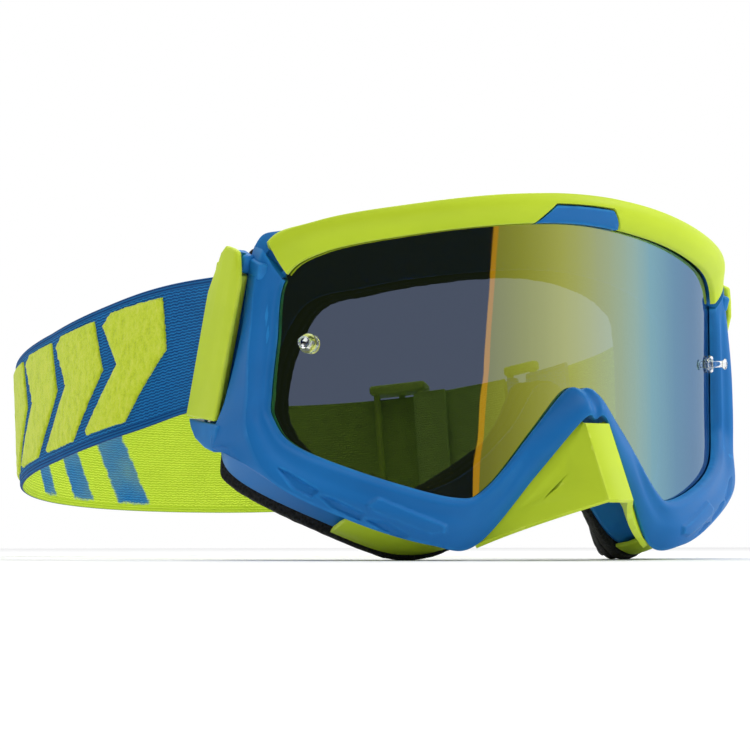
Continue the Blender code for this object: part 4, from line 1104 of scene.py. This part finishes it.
def build_strap():
    turn_r = 1.3 + GAP + STRAP_T / 2
    inner_r = STRAP_R - 2 * turn_r
    up = Vector((0, 0, 1))
    # the long webbing, from the left lever round the back to the ring
    end, end_up = lever_end(-1)
    run, run_up = side_run(-1)
    corner = bezier([Vector((-STRAP_R, 0, 0)), Vector((-STRAP_R - 2.5, 62, 0)), Vector((-78, STRAP_R, 0)), Vector((0, STRAP_R, 0))], 110, 1)
    arc_end = RING_DEG + 3.2
    arc = [polar(90 - (90 - arc_end) * i / 80, STRAP_R) for i in range(1, 81)]
    bar = polar(arc_end, STRAP_R - turn_r)
    turn = [bar + polar(arc_end - 8 - 164 * i / 16, turn_r) for i in range(17)]
    path = end + run + corner + arc + turn
    ups = end_up + run_up + [up] * (len(path) - len(end) - len(run))
    track = Track(path, ups)
    o = ribbon("strap_web_long", track, [web_blue, web_lime])
    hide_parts("strap_long", "strap_end_left")
    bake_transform(o)
    u0 = track.at[len(end)]
    lean = 0.30

    def shape(x, points):
        return [(u0 + x + a - lean * b, b) for a, b in points]

    chevron = [(0, 17.4), (20.5, 17.8), (23.5, 14.8), (13.5, 1.0), (26.0, -15.8), (25.0, -17.2), (5.0, -17.4), (-8.0, 1.0)]
    where = [(word, 30.0 + 28.5 * k, chevron) for k, word in enumerate("abcdefg")]
    for k, (word, x, points) in enumerate(where):
        g = applique(f"strap_graphic_{word}", track, shape(x, points), 0.0, 0.8, flock_lime, seed=k + 3)
        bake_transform(g)
    s = stitches("strap_stitch_left", track, track.at[4], -18, 18, 1.0, thread)
    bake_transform(s)

    # the return run, from the ring's bar to the slider, whose loop is sewn back on itself
    first = polar(arc_end + 0.6, inner_r)
    near_deg = SLIDER_DEG - math.degrees(math.atan2(9.0, inner_r - 0.2))
    near = polar(SLIDER_DEG, inner_r - 0.2) + polar(SLIDER_DEG - 90, 9.0)
    reach = 1.3 + GAP + 0.7
    back = []
    for i in range(41):
        k = i / 40
        back.append(polar(arc_end + 0.6 + (near_deg - arc_end - 0.6) * k, inner_r + (reach - 0.2) * smooth(0.35, 1.0, k)))
    loop = [near + polar(near_deg + 180 * i / 12, reach) for i in range(1, 13)]
    hem = [polar(near_deg - 0.9 * i, inner_r - 0.2 - reach + 0.05 * i) for i in range(1, 8)]
    path = back + loop + hem
    ret = Track(path, [up] * len(path))
    # the return run takes the paler lime webbing, which is painted light
    o = ribbon("strap_web_return", ret, [web_lime_plain_painted_light, web_lime_plain_painted_light], thick=1.4)
    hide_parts("slider_webbing_loop")
    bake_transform(o)
    s = stitches("strap_stitch_slider", ret, ret.at[len(back) + len(loop) + 4], -18, 18, 1.0, thread, half=0.7)
    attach(s, "slider")

    # the short webbing, from the ring to the right lever
    deg = RING_DEG - 3.2
    bar2 = polar(deg, STRAP_R - turn_r)
    hem = [polar(2.0 + (deg - 2.0) * i / 16, inner_r) for i in range(17)]
    turn2 = list(reversed([bar2 + polar(deg + 8 + 164 * i / 16, turn_r) for i in range(17)]))
    outer = [polar(deg - deg * i / 14, STRAP_R) for i in range(14)]
    run, run_up = side_run(1)
    end, end_up = lever_end(1)
    path = hem + turn2 + outer + list(reversed(run)) + list(reversed(end))
    ups = [up] * (len(hem) + len(turn2) + len(outer)) + list(reversed(run_up)) + list(reversed(end_up))
    short = Track(path, ups)
    # the inner side takes the paler lime webbing, which is painted light
    o = ribbon("strap_web_short", short, [web_blue, web_lime_plain_painted_light])
    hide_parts("strap_short", "strap_end_right")
    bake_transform(o)
    u1 = short.at[-1] - 10 - 7.7
    for k, (word, x) in enumerate((("i", 30.0), ("j", 58.5))):
        pts = [(u1 - x - a + lean * b, b) for a, b in chevron]
        g = applique(f"strap_graphic_{word}", short, pts, 0.0, 0.8, flock_lime, seed=k + 31)
        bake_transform(g)
    s = stitches("strap_stitch_ring", short, short.at[6], -18, 18, -1.0, thread)
    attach(s, "frame")

    # ring and slider
    m, d = (bar + bar2) / 2, (bar - bar2).normalized()
    half = (bar - bar2).length / 2 + 1.9
    ring = rod(STRAP, bar, 1.3, 48.0, [lime], 24)
    ring.name = "ring"
    turnm = STRAP @ Matrix.Translation(m) @ Matrix.Rotation(math.atan2(d.y, d.x) - math.pi / 2, 4, "Z")
    union(ring, [rod(STRAP, bar2, 1.3, 48.0, [lime], 24)] + [block(turnm, (-1.9, -half, z), (1.9, half, z + 3.6), [lime], 1.0, 4) for z in (22.2, -25.8)])
    smooth_again(ring, 34)
    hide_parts("strap_ring")
    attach(ring, "frame")
    f = STRAP @ Matrix.Rotation(math.radians(SLIDER_DEG), 4, "Z")
    slider = rod(f, Vector((STRAP_R + 2.5, 0, 0)), 1.3, 48.0, [lime], 24)
    slider.name = "slider"
    union(slider, [rod(f, Vector((x, y, 0)), 1.3, 48.0, [lime], 24) for x, y in ((STRAP_R - 2.9, 9.0), (inner_r - 0.2, -9.0))]
          + [block(f, (inner_r - 2.2, -11.2, z), (STRAP_R + 4.2, 11.2, z + 3.6), [lime], 1.2, 4) for z in (22.2, -25.8)])
    smooth_again(slider, 34)
    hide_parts("strap_slider")
    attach(slider, "slider")


build_rim()
build_brow()
build_insert()
build_inner()
base = FOAM_GAP - 0.35
foam_ring("foam_base", "face_foam_base", base, FOAM_GAP + FOAM_T[0] + 0.15, 2.6, 3.0, foam_black, 1.0)
foam_ring("foam_middle", "face_foam_middle", 2 * FOAM_GAP + FOAM_T[0] - 0.15, 2 * FOAM_GAP + sum(FOAM_T[:2]) + 0.15, 3.0, 2.2, foam_fine, 1.0)
foam_ring("fleece_ring", "face_fleece", 3 * FOAM_GAP + sum(FOAM_T[:2]) - 0.15, 3 * FOAM_GAP + sum(FOAM_T), 2.2, 0.4, fleece, 1.6)
vent_foam()
build_lens()
build_posts()
build_nose()
build_chin()
for side, word in ((-1, "left"), (1, "right")):
    build_lever(side, word)
build_strap()

# ---------------------------------------------------------------- floor, light, camera
floor_mat = Look("floor_paper", (0.93, 0.93, 0.93), 0.9, Specular_IOR_Level=0.0)
floor_mat.set("Base Color", floor_mat.mix(floor_mat.noise(floor_mat.coord(), 3, 2), (0.955, 0.955, 0.955), (0.975, 0.975, 0.975)))
bm = bmesh.new()
bmesh.ops.create_grid(bm, x_segments=2, y_segments=2, size=1.1)
floor = finish_mesh("floor", bm, [floor_mat.m])
floor.location = (0, 0, -0.0005)

world = bpy.data.worlds.new("studio")
bpy.context.scene.world = world
world.use_nodes = True
wn = world.node_tree
bg = wn.nodes["Background"]
tc = wn.nodes.new("ShaderNodeTexCoord")
dot = wn.nodes.new("ShaderNodeVectorMath")
dot.operation = "DOT_PRODUCT"
dot.inputs[1].default_value = (0.62, 0.66, 0.25)
wn.links.new(tc.outputs["Generated"], dot.inputs[0])
ramp = wn.nodes.new("ShaderNodeValToRGB")
mr = wn.nodes.new("ShaderNodeMapRange")
mr.inputs["From Min"].default_value, mr.inputs["From Max"].default_value = -1, 1
wn.links.new(dot.outputs["Value"], mr.inputs["Value"])
wn.links.new(mr.outputs[0], ramp.inputs[0])
e = ramp.color_ramp.elements
e[0].position, e[0].color = 0.12, (0.16, 0.165, 0.18, 1)
e[1].position, e[1].color = 0.65, (1.0, 1.0, 1.0, 1)
wn.links.new(ramp.outputs[0], bg.inputs["Color"])
bg.inputs["Strength"].default_value = 1.0


def area(name, at, to, size, power, colour=(1, 1, 1)):
    light = bpy.data.lights.new(name, "AREA")
    light.shape, light.size, light.size_y, light.energy, light.color = "RECTANGLE", size[0], size[1], power, colour
    o = bpy.data.objects.new(name, light)
    bpy.context.scene.collection.objects.link(o)
    o.location = at
    o.rotation_euler = (Vector(to) - Vector(at)).to_track_quat("-Z", "Y").to_euler()
    return o


area("key", (0.85, -0.75, 0.75), (0, -0.08, 0.05), (0.5, 0.5), 5.2)
area("top", (-0.25, -0.2, 1.2), (0, -0.05, 0.05), (0.7, 0.5), 3.2)
area("inside", (0.04, 0.02, 0.29), (0.03, 0.13, 0.04), (0.14, 0.12), 0.20).visible_camera = False


def screen(name, lo, hi, z0, z1, colour, strength, tilt=0.0, radius=1.3):
    """A curved studio screen round the lens, seen only in reflections: from azimuth lo to hi, its near edge leaning by tilt."""
    bm = bmesh.new()
    lines = []
    for k in range(41):
        q = k / 40
        pair = []
        for z in (z0, z1):
            lean = tilt * (z - z0) / (z1 - z0) * (1 if k == 40 or name == "edge_strip" else q)
            a = math.radians(lo + (hi - lo) * q + lean)
            pair.append(bm.verts.new((radius * math.sin(a), -radius * math.cos(a), z)))
        lines.append(pair)
    for a, b in zip(lines, lines[1:]):
        bm.faces.new((a[0], b[0], b[1], a[1]))
    mat = Look(name, (0, 0, 0), 1.0)
    mat.b.inputs["Emission Color"].default_value = (*colour, 1)
    mat.b.inputs["Emission Strength"].default_value = strength
    mat.b.inputs["Specular IOR Level"].default_value = 0.0
    o = finish_mesh(name, bm, [mat.m])
    for flag in ("visible_camera", "visible_diffuse", "visible_transmission", "visible_volume_scatter", "visible_shadow"):
        setattr(o, flag, False)
    return o


screen("dark_screen", -150, -17.8, -0.3, 0.5, (0.10, 0.14, 0.5), 0.10, tilt=27.2)
screen("edge_strip", -17.8, -16.0, -0.3, 0.5, (1.0, 0.50, 0.16), 0.62, tilt=27.2, radius=1.29)

cam_data = bpy.data.cameras.new("camera")
cam = bpy.data.objects.new("camera", cam_data)
bpy.context.scene.collection.objects.link(cam)
cam.location = (-0.36393, -0.62745, 0.00475)
cam.rotation_euler = (math.radians(94.42), 0, math.radians(-30))
cam_data.lens, cam_data.sensor_width = 103.9, 36
cam_data.clip_start, cam_data.clip_end = 0.005, 50
bpy.context.scene.camera = cam
bpy.context.scene.view_settings.view_transform = "Standard"
bpy.context.scene.view_settings.look = "None"
